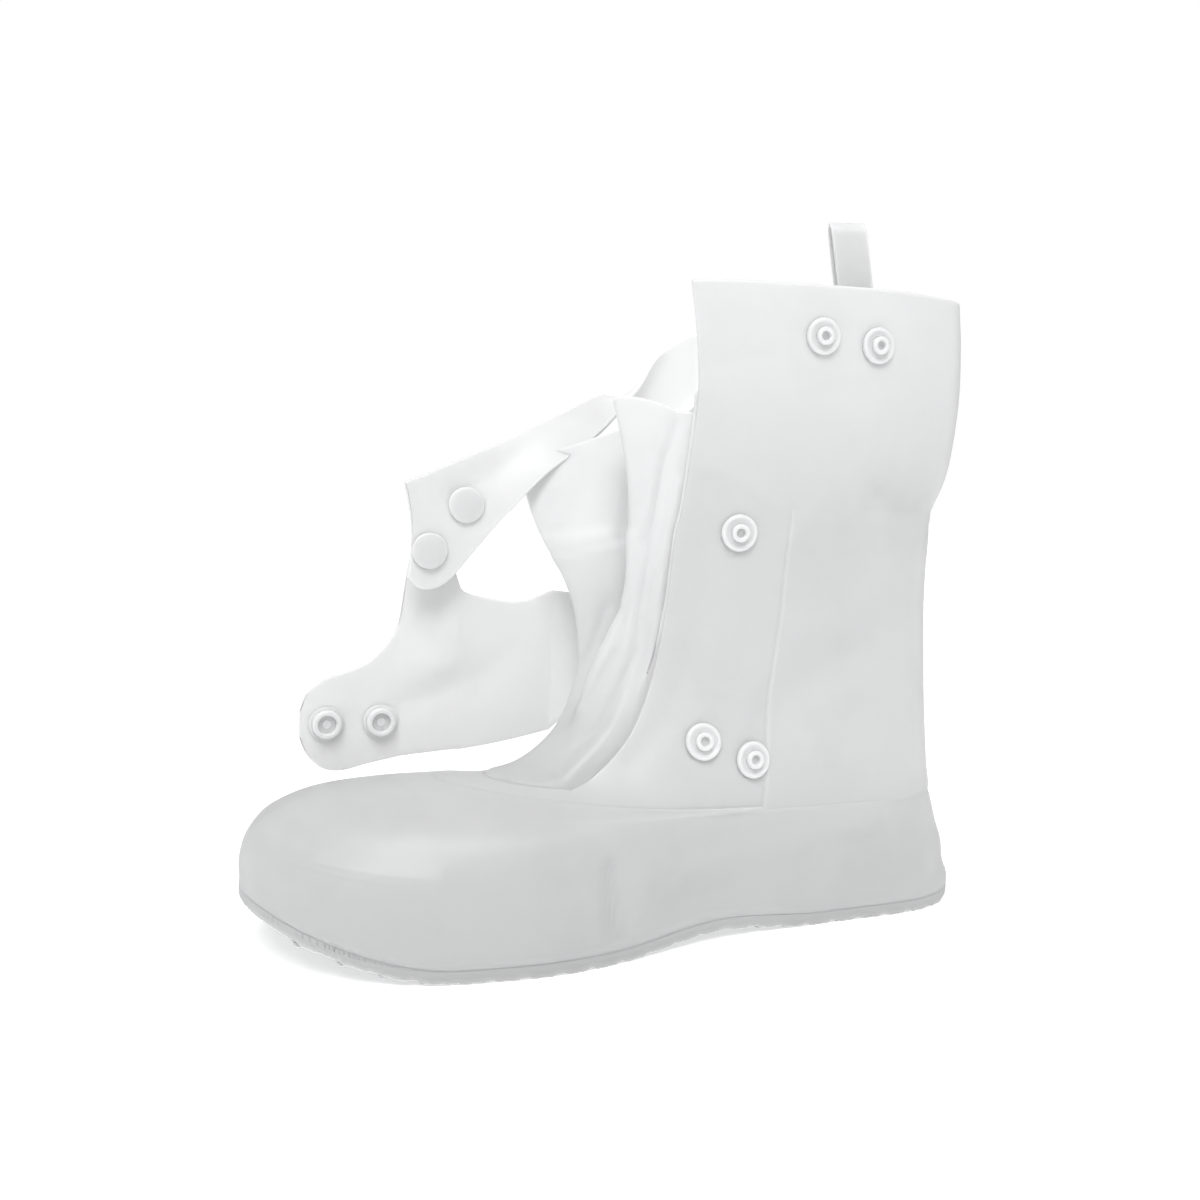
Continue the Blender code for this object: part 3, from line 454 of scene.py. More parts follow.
    def on_side(self, x: float, height: float) -> tuple[np.ndarray, np.ndarray]:
        """Point and outward normal of the shaft's lateral side at x and a height.

        Args:
            x: place from the heel's back.
            height: height over the floor.

        Returns:
            The point and the normal.
        """

        def surface(at: float, up: float) -> np.ndarray:
            """The side's point at a place and height.

            Args:
                at: place from the heel's back.
                up: height over the floor.

            Returns:
                The point.
            """
            low, high = float(THROAT_ROW), float(COLLAR_ROW)
            for _ in range(HALVINGS):
                level = (low + high) / 2
                row = self.section(np.array([level]))
                share = (at - row["back"]) / (row["front"] - row["back"])
                point = self.section_points(row, share, np.array([1.0]))[0, 0]
                low, high = (level, high) if point[2] < up else (low, level)
            return point

        step = 0.001
        along = surface(x + step, height) - surface(x - step, height)
        rise = surface(x, height + step) - surface(x, height - step)
        normal = np.cross(rise, along)
        return surface(x, height), normal / np.linalg.norm(normal)


# Making meshes

def linked(name: str, data: bpy.types.ID) -> bpy.types.Object:
    """An object in the scene that holds some data.

    Args:
        name: the object's name.
        data: a mesh, a camera or a lamp.

    Returns:
        The object.
    """
    made = bpy.data.objects.new(name, data)
    bpy.context.scene.collection.objects.link(made)
    return made


def face_outward(mesh: bpy.types.Mesh, merge: float = 0.0) -> None:
    """Turns a mesh's faces outward.

    Args:
        mesh: the mesh.
        merge: points closer than this are made one first.
    """
    form = bmesh.new()
    form.from_mesh(mesh)
    if merge:
        bmesh.ops.remove_doubles(form, verts=form.verts[:], dist=merge)
    bmesh.ops.recalc_face_normals(form, faces=form.faces[:])
    form.to_mesh(mesh)
    form.free()


def mesh_object(
    name: str, points: np.ndarray, faces: Sequence[Sequence[int]], set_back: float,
) -> bpy.types.Object:
    """An object at the origin from points measured from the heel's back.

    Args:
        name: the object's name.
        points: its points.
        faces: its faces, as numbers of points.
        set_back: how far the points move back, to the frame's origin.

    Returns:
        The object.
    """
    mesh = bpy.data.meshes.new(name)
    placed = np.asarray(points, float) - (set_back, 0.0, 0.0)
    mesh.from_pydata(placed.tolist(), [], [list(face) for face in faces])
    mesh.validate()
    return linked(name, mesh)


def smooth_shaded(made: bpy.types.Object, sharp: float = 40.0) -> None:
    """Shades an object smooth, but for edges over an angle in degrees."""
    made.data.shade_smooth()
    made.data.set_sharp_from_angle(angle=math.radians(sharp))


def applied(made: bpy.types.Object) -> bpy.types.Object:
    """Turns an object's modifiers into its mesh.

    Args:
        made: the object.

    Returns:
        The same object, with no modifier.
    """
    graph = bpy.context.evaluated_depsgraph_get()
    mesh = bpy.data.meshes.new_from_object(made.evaluated_get(graph))
    made.modifiers.clear()
    made.data = mesh
    return made


@dataclass
class Sheet:
    """A grid of points, some of whose cells are kept, that becomes a wall with soft rims."""

    name: str
    points: np.ndarray
    kept: np.ndarray
    thickness: float
    offset: float
    set_back: float
    rim: float = 0.0005
    closed: bool = False
    share: np.ndarray | None = None
    # Per point, kept as the thick attribute: painted shade on thicker wall, and on the flap the mask of its
    # painted glow.
    tint: np.ndarray | None = None

    def build(self) -> bpy.types.Object:
        """Makes the sheet's object.

        Returns:
            The wall, with its modifiers turned into its mesh.
        """
        rows, columns = self.points.shape[:2]
        wide = columns if self.closed else columns - 1
        faces = []
        for i in range(rows - 1):
            for j in range(wide):
                if self.kept[i, j]:
                    low, high, k = i * columns, (i + 1) * columns, (j + 1) % columns
                    faces.append((low + j, low + k, high + k, high + j))
        used = np.unique(np.array(faces))
        order = np.full(rows * columns, -1)
        order[used] = np.arange(len(used))
        faces = order[np.array(faces)]
        made = mesh_object(self.name, self.points.reshape(-1, 3)[used], faces, self.set_back)
        # The tint becomes the thick attribute that the finishes read for painted shade and painted glow.
        if self.tint is not None:
            layer = made.data.attributes.new("thick", "FLOAT", "POINT")
            layer.data.foreach_set("value", self.tint.reshape(-1)[used].astype(np.float32))
        wall = made.modifiers.new("wall", "SOLIDIFY")
        wall.thickness = self.thickness
        wall.offset = self.offset
        if self.share is not None:
            group = made.vertex_groups.new(name="share")
            for number, value in enumerate(self.share.reshape(-1)[used]):
                group.add([number], float(value), "REPLACE")
            wall.vertex_group = "share"
        applied(made)
        self.round_rim(made, 2 * len(faces))
        smooth_shaded(made)
        return made

    def round_rim(self, made: bpy.types.Object, first: int) -> None:
        """Rounds the wall's rims.

        Args:
            made: the wall.
            first: number of its first rim face, which the rest of the rim follows.
        """
        form = bmesh.new()
        form.from_mesh(made.data)
        form.faces.ensure_lookup_table()
        rim = set(form.faces[first:])
        edges = {edge for face in rim for edge in face.edges if len(rim.intersection(edge.link_faces)) == 1}
        bmesh.ops.bevel(form, geom=list(edges), offset=self.rim, segments=2, profile=0.5, affect="EDGES")
        form.to_mesh(made.data)
        form.free()


# Shader maths

class Graph:
    """A material's node tree, with one way to make any node."""

    def __init__(self, name: str) -> None:
        """Makes an empty material.

        Args:
            name: the material's name.
        """
        self.material = bpy.data.materials.new(name)
        self.material.use_nodes = True
        self.tree = self.material.node_tree
        self.tree.nodes.clear()

    def node(
        self, kind: str, settings: dict[str, object] | None = None, **sockets: object,
    ) -> bpy.types.Node:
        """Makes a node.

        Args:
            kind: the node's type.
            settings: its settings, set before its sockets.
            **sockets: values or links of its sockets, by name with spaces as underscores.

        Returns:
            The node.
        """
        made = self.tree.nodes.new(kind)
        for key, value in (settings or {}).items():
            setattr(made, key, value)
        for key, value in sockets.items():
            self.feed(self.pick(made.inputs, key), value)
        return made

    @staticmethod
    def pick(sockets: bpy.types.bpy_prop_collection, key: str) -> bpy.types.NodeSocket:
        """The enabled socket with a name, or with a number as in n0.

        Args:
            sockets: a node's inputs.
            key: a name with spaces as underscores, or n and a number.

        Returns:
            The socket.
        """
        if key[0] == "n" and key[1:].isdigit():
            return sockets[int(key[1:])]
        name = key.replace("_", " ")
        return next(s for s in sockets if s.enabled and s.name == name)

    def feed(self, socket: bpy.types.NodeSocket, value: object) -> None:
        """Links a socket to a value's socket, or sets it.

        Args:
            socket: the socket.
            value: a value, a socket or a plain setting.
        """
        if isinstance(value, Value):
            self.tree.links.new(value.socket, socket)
        elif isinstance(value, bpy.types.NodeSocket):
            self.tree.links.new(value, socket)
        else:
            socket.default_value = value

    def coordinates(self, scale: float = 1000.0) -> "Value":
        """Object coordinates times a scale, by default in millimetres."""
        place = self.node("ShaderNodeTexCoord").outputs["Object"]
        return Value(self, place).scaled(scale)

    def noise(self, place: "Value", scale: float, detail: float = 2.0, rough: float = 0.5) -> "Value":
        """Noise from 0 to 1 over a place.

        Args:
            place: the place.
            scale: the noise's scale.
            detail: how many finer noises are added.
            rough: how strong they are.

        Returns:
            The noise.
        """
        sizes = {"Scale": scale, "Detail": detail, "Roughness": rough}
        made = self.node("ShaderNodeTexNoise", None, Vector=place, **sizes)
        return Value(self, made.outputs["Fac"])

    def attribute(self, name: str) -> "Value":
        """A number kept on the mesh."""
        return Value(self, self.node("ShaderNodeAttribute", {"attribute_name": name}).outputs["Fac"])

    def tones(self, value: "Value", stops: Sequence[tuple[float, float]]) -> "Value":
        """Greys along a value.

        Args:
            value: the value.
            stops: places on it, rising, each with a grey's display level.

        Returns:
            The colour.
        """
        low, high = stops[0][0], stops[-1][0]
        made = self.node("ShaderNodeValToRGB", None, Fac=(value - low) / (high - low))
        ramp = made.color_ramp
        ramp.interpolation = "B_SPLINE"
        while len(ramp.elements) < len(stops):
            ramp.elements.new(0.5)
        for element, (place, level) in zip(ramp.elements, stops):
            element.position = (place - low) / (high - low)
            element.color = grey(level)
        return Value(self, made.outputs["Color"])

    def mix(self, share: "Value | float", first: object, second: object) -> "Value":
        """Mixes two colours."""
        made = self.node("ShaderNodeMix", {"data_type": "RGBA"}, Factor=share, A=first, B=second)
        return Value(self, next(s for s in made.outputs if s.enabled))

    def bump(self, height: "Value", strength: float, distance: float) -> "Value":
        """A normal bent by a height in metres of distance."""
        made = self.node("ShaderNodeBump", None, Strength=strength, Distance=distance, Height=height)
        return Value(self, made.outputs["Normal"])

    def output(self, shader: bpy.types.Node) -> bpy.types.Material:
        """Links a shader to the surface and gives the material."""
        self.node("ShaderNodeOutputMaterial", None, Surface=shader.outputs[0])
        return self.material


@dataclass
class Value:
    """A number or vector on its way through the nodes, with the usual operators."""

    graph: Graph
    socket: bpy.types.NodeSocket

    def math(self, operation: str, *others: object) -> "Value":
        """A Math node on this value and others.

        Args:
            operation: the node's operation.
            *others: its other values.

        Returns:
            The result.
        """
        values = {f"n{i}": value for i, value in enumerate((self, *others))}
        made = self.graph.node("ShaderNodeMath", {"operation": operation}, **values)
        return Value(self.graph, made.outputs[0])

    def reflected(self, operation: str, other: float) -> "Value":
        """A Math node with a plain number first."""
        made = self.graph.node("ShaderNodeMath", {"operation": operation}, n0=other, n1=self)
        return Value(self.graph, made.outputs[0])

    def __add__(self, other: object) -> "Value":
        """Sum."""
        return self.math("ADD", other)

    __radd__ = __add__

    def __mul__(self, other: object) -> "Value":
        """Product."""
        return self.math("MULTIPLY", other)

    __rmul__ = __mul__

    def __sub__(self, other: object) -> "Value":
        """Difference."""
        return self.math("SUBTRACT", other)

    def __rsub__(self, other: float) -> "Value":
        """A number less this value."""
        return self.reflected("SUBTRACT", other)

    def __truediv__(self, other: object) -> "Value":
        """Quotient."""
        return self.math("DIVIDE", other)

    def scaled(self, factor: float) -> "Value":
        """A vector times a number."""
        made = self.graph.node("ShaderNodeVectorMath", {"operation": "SCALE"}, n0=self, Scale=factor)
        return Value(self.graph, made.outputs[0])

    def part(self, axis: str) -> "Value":
        """A vector's X, Y or Z."""
        return Value(self.graph, self.graph.node("ShaderNodeSeparateXYZ", None, n0=self).outputs[axis])

    def ramp(self, low: float, high: float) -> "Value":
        """Eases from 0 to 1 as this value goes from low to high.

        Args:
            low: where it starts.
            high: where it ends.

        Returns:
            The eased share.
        """
        smooth = {"interpolation_type": "SMOOTHSTEP"}
        made = self.graph.node("ShaderNodeMapRange", smooth, Value=self, From_Min=low, From_Max=high)
        return Value(self.graph, made.outputs["Result"])


Colour = tuple[float, float, float, float]


def grey(level: float, warm: float = -0.004) -> Colour:
    """A nearly neutral grey from its display level, 0 to 255.

    Args:
        level: the display level.
        warm: how far red is raised and blue lowered.

    Returns:
        The colour.
    """
    share = level / 255
    light = ((share + 0.055) / 1.055) ** 2.4
    return (light * (1 + warm), light, light * (1 - warm), 1.0)


@dataclass(frozen=True)
class SiliconeFinish:
    """Milky satin silicone: cloudy in its depth, finely matte on its skin, with painted shade darker towards
    the floor, on thicker wall and at edges turned from view, and a painted glow.
    """

    name: str
    # Greys by height: painted shade, darker towards the floor and lighter up the shaft.
    tones: tuple[tuple[float, float], ...] = (
        (0.0, 178.0), (10.0, 182.0), (42.0, 188.0), (58.0, 196.0), (80.0, 198.0),
        (145.0, 197.0), (165.0, 198.0), (190.0, 204.0), (225.0, 211.0), (250.0, 212.0),
    )
    cloud: float = 7.0
    # How far the thick attribute darkens: painted shade on thicker wall, which lets less light through.
    thick: float = 0.8
    # Emission strength: a painted glow that stands in for light coming through the wall.
    inner_light: float = 0.06
    roughness: float = 0.42
    grain: float = 0.10
    waves: float = 0.35
    glow: float = 0.0030
    # Painted shade on edges turned from view: how much darker, and from which facing.
    edge: float = 0.35
    edge_from: float = 0.55
    # Levels between the greys and their darker copy, which random clouds and painted shade mix towards.
    depth_levels: float = 40.0
    # Whether the painted glow follows the thick attribute, and how many times stronger it is there.
    lit_by_tint: bool = False
    lit_times: float = 6.0

    def light(self, graph: Graph, colour: Value) -> tuple[Value, float]:
        """Painted glow that stands in for light coming through the wall, stronger where the mesh is marked if
        the glow follows the tint.

        Args:
            graph: the finish's nodes.
            colour: the silicone's colour.

        Returns:
            The painted glow's colour and strength.
        """
        if not self.lit_by_tint:
            return colour, self.inner_light
        faint = graph.mix(1.0 / self.lit_times, (0.0, 0.0, 0.0, 1.0), colour)
        return graph.mix(graph.attribute("thick"), faint, colour), self.inner_light * self.lit_times

    def material(self) -> bpy.types.Material:
        """Builds the finish.

        Returns:
            The material.
        """
        graph = Graph(self.name)
        place = graph.coordinates()
        height = place.part("Z")
        clouds = graph.noise(place, 0.022, 3.0, 0.55)
        mottle = graph.noise(place, 0.14, 2.0)
        grain = graph.noise(place, 2.4, 3.0, 0.6)
        waves = graph.noise(place, 0.05, 2.0)
        # Greys by height, painted shade darker towards the floor.
        body = graph.tones(height, self.tones)
        # The darker copy of the greys: random clouds and painted shade mix towards it.
        deep = graph.tones(height, [(place, level - self.depth_levels) for place, level in self.tones])
        cloudy = clouds.ramp(0.25, 0.75) + mottle * 0.5 - 0.75
        # Painted shade where the thick attribute marks thicker wall, plus random clouds.
        shade = graph.attribute("thick") * (self.thick / self.depth_levels)
        shade = shade + cloudy * (self.cloud / self.depth_levels)
        # Painted shade where the surface turns from view.
        facing = Value(graph, graph.node("ShaderNodeLayerWeight", None, Blend=0.5).outputs["Facing"])
        colour = graph.mix(shade + facing.ramp(self.edge_from, 1.0) * self.edge, body, deep)
        shine = self.roughness + (clouds - 0.5) * 0.14 + (grain - 0.5) * 0.08
        normal = graph.bump(grain * self.grain + waves * self.waves, 0.5, 0.0008)
        # Emission as a painted glow that fills shade, lighting the silicone from within.
        light, strength = self.light(graph, colour)
        shader = graph.node(
            "ShaderNodeBsdfPrincipled",
            {"subsurface_method": "RANDOM_WALK"},
            Base_Color=colour, Roughness=shine, Normal=normal, IOR=1.41,
            Subsurface_Weight=1.0, Subsurface_Radius=(1.0, 1.0, 0.95), Subsurface_Scale=self.glow,
            Emission_Color=light, Emission_Strength=strength,
        )
        return graph.output(shader)


@dataclass(frozen=True)
class ResinFinish:
    """Clear-white moulded resin of the snaps, glossier than the silicone round them."""

    name: str
    colour: Colour = grey(208.0)
    shade: Colour = grey(201.0)
    roughness: float = 0.32

    def material(self) -> bpy.types.Material:
        """Builds the finish.

        Returns:
            The material.
        """
        graph = Graph(self.name)
        place = graph.coordinates()
        clouds = graph.noise(place, 0.10, 2.0)
        grain = graph.noise(place, 5.0, 2.0)
        colour = graph.mix(clouds.ramp(0.3, 0.8) * 0.4, self.colour, self.shade)
        shine = self.roughness + (clouds - 0.5) * 0.10
        # Emission here is a painted glow that fills the snaps' shade.
        shader = graph.node(
            "ShaderNodeBsdfPrincipled",
            {"subsurface_method": "RANDOM_WALK"},
            Base_Color=colour, Roughness=shine, Normal=graph.bump(grain, 0.25, 0.0001), IOR=1.46,
            Subsurface_Weight=1.0, Subsurface_Radius=(1.0, 1.0, 1.0), Subsurface_Scale=0.0030,
            Emission_Color=colour, Emission_Strength=0.11,
        )
        return graph.output(shader)


@dataclass(frozen=True)
class FloorFinish:
    """Plain pale floor."""

    name: str = "pale_floor"
    colour: Colour = grey(225.0)
    light: float = 0.62

    def material(self) -> bpy.types.Material:
        """Builds the finish.

        Returns:
            The material.
        """
        graph = Graph(self.name)
        shader = graph.node("ShaderNodeBsdfPrincipled", None, Base_Color=self.colour, Roughness=0.9,
                            Specular_IOR_Level=0.0, Emission_Color=self.colour, Emission_Strength=self.light)
        return graph.output(shader)


# The pieces

@dataclass
class Upper:
    """Foot and quarters as one wall, with the raised foot and heel counter."""

    form: OvershoeForm
    wall: float = 0.0018
    step: float = 0.0007
    step_run: float = 0.14
    top_run: float = 0.35
    edge_run: float = 0.012
    free_from: float = 3.6
    free_run: float = 1.2
    crease_from: float = 2.2
    crease_run: float = 1.4
    cell: float = 0.0021
    cells: tuple[int, int, int] = (18, 74, 50)

    def levels(self) -> np.ndarray:
        """Levels a cell apart, with both sides of each step.

        Returns:
            The levels, rising.
        """
        made = []
        for row in range(COLLAR_ROW):
            ends = self.form.wall(np.array([row, row + 1.0]), np.linspace(-3, 2.9, 24))
            run = np.linalg.norm(ends[1] - ends[0], axis=-1).mean()
            made.append(np.linspace(row, row + 1, max(2, math.ceil(run / self.cell)), endpoint=False))
            if row == TOPLINE_ROW:
                made[-1] = made[-1][(made[-1] == row) | (made[-1] > row + 1.15 * self.step_run)]
        run = TOPLINE_ROW + np.array(STEP_SHARES) * self.step_run
        return np.unique(np.concatenate(made + [run, [COLLAR_ROW]]))

    def columns(self) -> np.ndarray:
        """Places of the columns round the shoe, with both sides of the counter's edge.

        Returns:
            The places, from the front round the lateral side to the back and on.
        """
        half = np.concatenate([np.linspace(i, i + 1, n, endpoint=False) for i, n in enumerate(self.cells)])
        half = np.unique(np.append(half, 2.0 + np.array(STEP_SHARES) * self.edge_run))
        return np.concatenate((half, [3.0], -half[:0:-1]))

    def raised(self, levels: np.ndarray, around: np.ndarray) -> np.ndarray:
        """Where the wall is thicker, from 0 to 1: on the foot and on the counter.

        Args:
            levels: the rows' levels.
            around: the columns' places.

        Returns:
            A share for each point of the grid.
        """
        foot = 1 - ease((levels - TOPLINE_ROW) / self.step_run)
        below = 1 - ease((levels - COUNTER_ROW + self.top_run / 2) / self.top_run)
        behind = ease((np.abs(around) - 2.0) / self.edge_run)
        return np.maximum(foot[:, None], below[:, None] * behind[None, :]) * (levels > 2.0)[:, None]

    def to_sole(self, levels: np.ndarray) -> np.ndarray:
        """How far each level follows the sole's edge, from 0 to 1."""
        above = ease((self.free_from - levels) / self.free_run)
        return np.where(levels < 1.0, np.clip(levels, 0.0, 1.0), above)

    def sole_edge(self, around: np.ndarray) -> np.ndarray:
        """Points of the sole's edge that the columns come down to.

        Args:
            around: the columns' places.

        Returns:
            A point for each column.
        """
        sole = Outsole(self.form)
        row = self.form.section(np.array([SOLE_ROW]))
        forward = self.form.wall(np.array([SOLE_ROW]), around)[0, :, 0]
        share = (forward - row["back"][0]) / (row["front"] - row["back"])[0]
        lateral, medial = sole.edges(share)
        return np.where((around >= 0)[:, None], lateral, medial)

    def build(self) -> bpy.types.Object:
        """Makes the upper's wall.

        Returns:
            The wall.
        """
        levels, around = self.levels(), self.columns()
        raised = self.raised(levels, around)
        flat = self.form.wall(levels, around)
        side = np.where(around >= 0, 1, -1)
        deep = ease((levels - self.crease_from) / self.crease_run)
        sunk = crease_depth(UPPER_CREASES, flat, side) * deep[:, None]
        points = self.form.skin(levels, around, raised * self.step)
        inward = flat - self.form.skin(levels, around, 1.0)
        points[..., :2] += self.to_sole(levels)[:, None, None] * (self.sole_edge(around) - points[..., :2])
        points += sunk[..., None] * inward
        after = np.roll(around, -1)
        in_throat = (np.abs(around) <= 1) & (np.abs(after) <= 1)
        kept = ~((levels[:, None] >= THROAT_ROW) & in_throat[None, :])
        thickest = self.wall + self.step
        share = (self.wall + raised * self.step) / thickest
        # The raised share is also the tint: painted shade on the thicker foot and counter.
        sheet = Sheet("upper_wall", points, kept, thickest, -1.0, self.form.heel_seat, closed=True,
                      share=share, tint=raised)
        return sheet.build()


@dataclass
class Gusset:
    """Bellows sheet that closes the throat with two standing folds."""

    form: OvershoeForm
    wall: float = 0.0012
    middle: float = 0.0028
    top: float = 0.2015
    near_reach: tuple[float, ...] = (0.0, 0.0075, 0.0045, 0.0085, 0.0185)
    far_reach: tuple[float, ...] = (0.0, 0.0065, 0.0200, 0.0360, 0.0460)
    far_drop: float = 0.0235
    far_swing: float = 0.025
    top_bow: float = 0.005
    bow_at: float = 0.30
    bow_wide: float = 0.20
    near_hump: tuple[float, float] = (0.22, 0.20)
    far_hump: tuple[float, float] = (-0.42, 0.21)
    valley_humps: tuple[tuple[float, float], ...] = ((0.62, 0.13), (-0.08, 0.12))
    near_start: float = 0.22
    valley: float = 0.010
    valley_from: float = 0.12
    valley_run: float = 0.35
    edge_hold: float = 0.30
    lift_before: float = 0.15
    lift_run: float = 0.25
    lap: float = 2 / 7
    rows: int = 96
    cells: int = 150

    @staticmethod
    def hump(across: np.ndarray, place: tuple[float, float]) -> np.ndarray:
        """A hump from 0 to 1 over a place across, given as its middle and width."""
        return np.exp(-(((across - place[0]) / place[1]) ** 2))

    def fold_reach(self, across: np.ndarray, up: np.ndarray) -> tuple[np.ndarray, np.ndarray]:
        """How far the folds stand forward and the far one sideways.

        Args:
            across: from medial -1 to lateral 1.
            up: from foot 0 to top 1, as a column.

        Returns:
            Both distances over the grid.
        """
        knots = np.stack((self.near_reach, self.far_reach), axis=-1)
        near, far = spline(knots, up[:, 0] * (len(knots) - 1)).T[:, :, None]
        near = near * self.hump(across, self.near_hump) * ease(up / self.near_start)
        far = far * self.hump(across, self.far_hump)
        valleys = sum(self.hump(across, valley) for valley in self.valley_humps)
        sideways = -self.far_swing * (far / self.far_reach[-1]) ** 2
        sunk = self.valley * valleys * ease((up - self.valley_from) / self.valley_run)
        return near + far - sunk, sideways

    def build(self) -> bpy.types.Object:
        """Makes the gusset's wall.

        Returns:
            The wall.
        """
        levels = np.linspace(TOPLINE_ROW + 0.08, GUSSET_ROW, self.rows)
        around = np.linspace(-1 - self.lap, 1 + self.lap, self.cells + 1)
        across = around / (1 + self.lap)
        height = self.form.section(levels)["front_up"]
        foot, head = self.form.section(np.array([THROAT_ROW, GUSSET_ROW]))["front_up"][:, 0]
        up = np.clip((height - foot) / (head - foot), 0.0, 1.0)
        free = ease((1.0 - np.abs(around)) / self.edge_hold)
        lift = self.middle * ease((levels - THROAT_ROW + self.lift_before) / self.lift_run)[:, None] * free
        points = self.form.skin(levels, around, lift - self.middle)
        for axis, moved in enumerate(self.fold_reach(across, up)):
            points[..., axis] += free * moved
        drop = self.far_drop * ease(0.05 + across / self.far_hump[0])
        straight = self.form.section(np.array([GUSSET_ROW]))["front_up"][0, 0]
        bow = self.top_bow * np.minimum(((across - self.bow_at) / self.bow_wide) ** 2, 1.0) * (across > 0.0)
        points[..., 2] += free * up**3 * (self.top - straight - drop - bow)
        sunk = crease_depth(GUSSET_CREASES, points, np.where(around < -0.05, -1, 1)) * free
        turn = np.gradient(points, axis=1)
        rise = np.gradient(points, axis=0)
        normal = np.cross(turn, rise)
        normal /= np.linalg.norm(normal, axis=-1, keepdims=True)
        points -= sunk[..., None] * normal
        kept = np.ones(points.shape[:2], bool)
        # A constant tint: a little painted shade over the whole gusset.
        return Sheet("gusset_folds", points, kept, self.wall, 0.0, self.form.heel_seat, rim=0.0004,
                     tint=np.full(points.shape[:2], 0.25)).build()


@dataclass
class ClosureFlap:
    """The medial flap: a root over the quarter, an upper strap that turns over, and a lower lobe."""

    form: OvershoeForm
    wall: float = 0.0016
    gap: float = 0.0003
    tab_reach: float = 0.127
    tab_height: float = 0.0905
    tab_low: float = 0.0545
    tab_out: float = 0.014
    strap_reach: float = 0.127
    strap_drop: float = 0.107
    strap_turn: float = 0.008
    tip_bow: float = 0.0022
    tip_from: float = 0.86
    tip_run: float = 0.14
    # Reach and rows of the painted glow at the strap's root, lightening where it lies in shade.
    lit_reach: float = 0.050
    lit_rows: int = 12
    crease_columns: float = 30.0
    rows: tuple[int, int, int] = (40, 50, 30)
    root_from: float = 12.5
    lobe_top: float = 14.0
    strap_foot: float = 18.0
    root_to: float = 19.35
    root_width: float = 4 / 7
    root_cells: int = 22
    lobe_cells: int = 110
    strap_cells: int = 120

    def lobe(self, along: np.ndarray, across: np.ndarray) -> np.ndarray:
        """Grid of the lower lobe, along its ribs and across from its low edge.

        Args:
            along: shares along the ribs.
            across: shares across them.

        Returns:
            Grid of points.
        """
        rib = spline(np.array(LOWER_LOBE), along * (len(LOWER_LOBE) - 1))
        corner = self.form.wall(np.array([COLLAR_ROW]), np.array([1.0]))[0, 0]
        low = self.tab_low + self.tab_height * rib[:, 1]
        high = self.tab_low + self.tab_height * rib[:, 2]
        out = -self.form.heel_width / 2 - self.tab_out * rib[:, 3]
        ahead = corner[0] + rib[:, 0] * self.tab_reach
        flat = np.ones((len(across), len(along)))
        height = low + across[:, None] * (high - low)
        return np.stack((ahead * flat, out * flat, height), axis=-1)

    def strap(self, along: np.ndarray, across: np.ndarray) -> np.ndarray:
        """Grid of the upper strap, along its ribs and across from its first edge.

        Args:
            along: shares along the ribs.
            across: shares across them.

        Returns:
            Grid of points.
        """
        rib = spline(np.array(STRAP_RIBS), along * (len(STRAP_RIBS) - 1))
        root = self.form.wall(np.array([self.root_to]), np.array([-1.0]))[0, 0]
        size = np.array([self.strap_reach, -self.strap_turn, -self.strap_drop])
        first = root + size * rib[:, (0, 2, 1)]
        second = root + size * rib[:, (3, 5, 4)]
        grid = first[None] + across[:, None, None] * (second - first)[None]
        near_tip = ease((along - self.tip_from) / self.tip_run)
        grid[..., 0] -= self.tip_bow * np.outer(4 * across * (1 - across), near_tip)
        return grid

    def build(self) -> bpy.types.Object:
        """Makes the flap's wall.

        Returns:
            The wall.
        """
        low = np.linspace(self.root_from, self.lobe_top, self.rows[0], endpoint=False)
        middle = np.linspace(self.lobe_top, self.strap_foot, self.rows[1], endpoint=False)
        high = np.linspace(self.strap_foot, self.root_to, self.rows[2])
        levels = np.concatenate((low, middle, high))
        around = np.linspace(-1 - self.root_width, -1, self.root_cells + 1)
        root = self.form.skin(levels, around, self.gap + self.wall / 2)
        lobe_rows, strap_row = len(low) + 1, len(low) + len(middle)
        wide = self.root_cells + 2 + max(self.lobe_cells, self.strap_cells)
        points = np.zeros((len(levels), wide, 3))
        kept = np.zeros((len(levels), wide), bool)
        first = self.root_cells + 1
        points[:, :first] = root
        kept[:, :self.root_cells] = True
        along = np.linspace(0.0, 1.0, self.lobe_cells + 1)
        points[:lobe_rows, first:first + len(along)] = self.lobe(along, np.linspace(0, 1, lobe_rows))
        kept[:lobe_rows - 1, first - 1:first + self.lobe_cells] = True
        along = np.linspace(0.0, 1.0, self.strap_cells + 1)
        across = np.linspace(1, 0, len(levels) - strap_row)
        points[strap_row:, first:first + len(along)] = self.strap(along, across)
        kept[strap_row:-1, first - 1:first + self.strap_cells] = True
        sunk = crease_depth(FLAP_CREASES, points, np.ones(wide))
        points[..., 1] += sunk * ease((np.arange(wide) - first) / self.crease_columns)
        # Mask of painted glow near the strap's root, fading along the strap.
        glow_mask = np.zeros(points.shape[:2])
        ahead = points[strap_row - self.lit_rows:, :, 0] - points[-1, first - 1, 0]
        glow_mask[strap_row - self.lit_rows:] = ease((self.lit_reach - ahead) / (self.lit_reach / 2))
        back = self.form.heel_seat
        # The glow mask becomes the flap's thick attribute, which its finish reads for painted glow.
        return Sheet("closure_flap_wall", points, kept, self.wall, 0.0, back, tint=glow_mask).build()


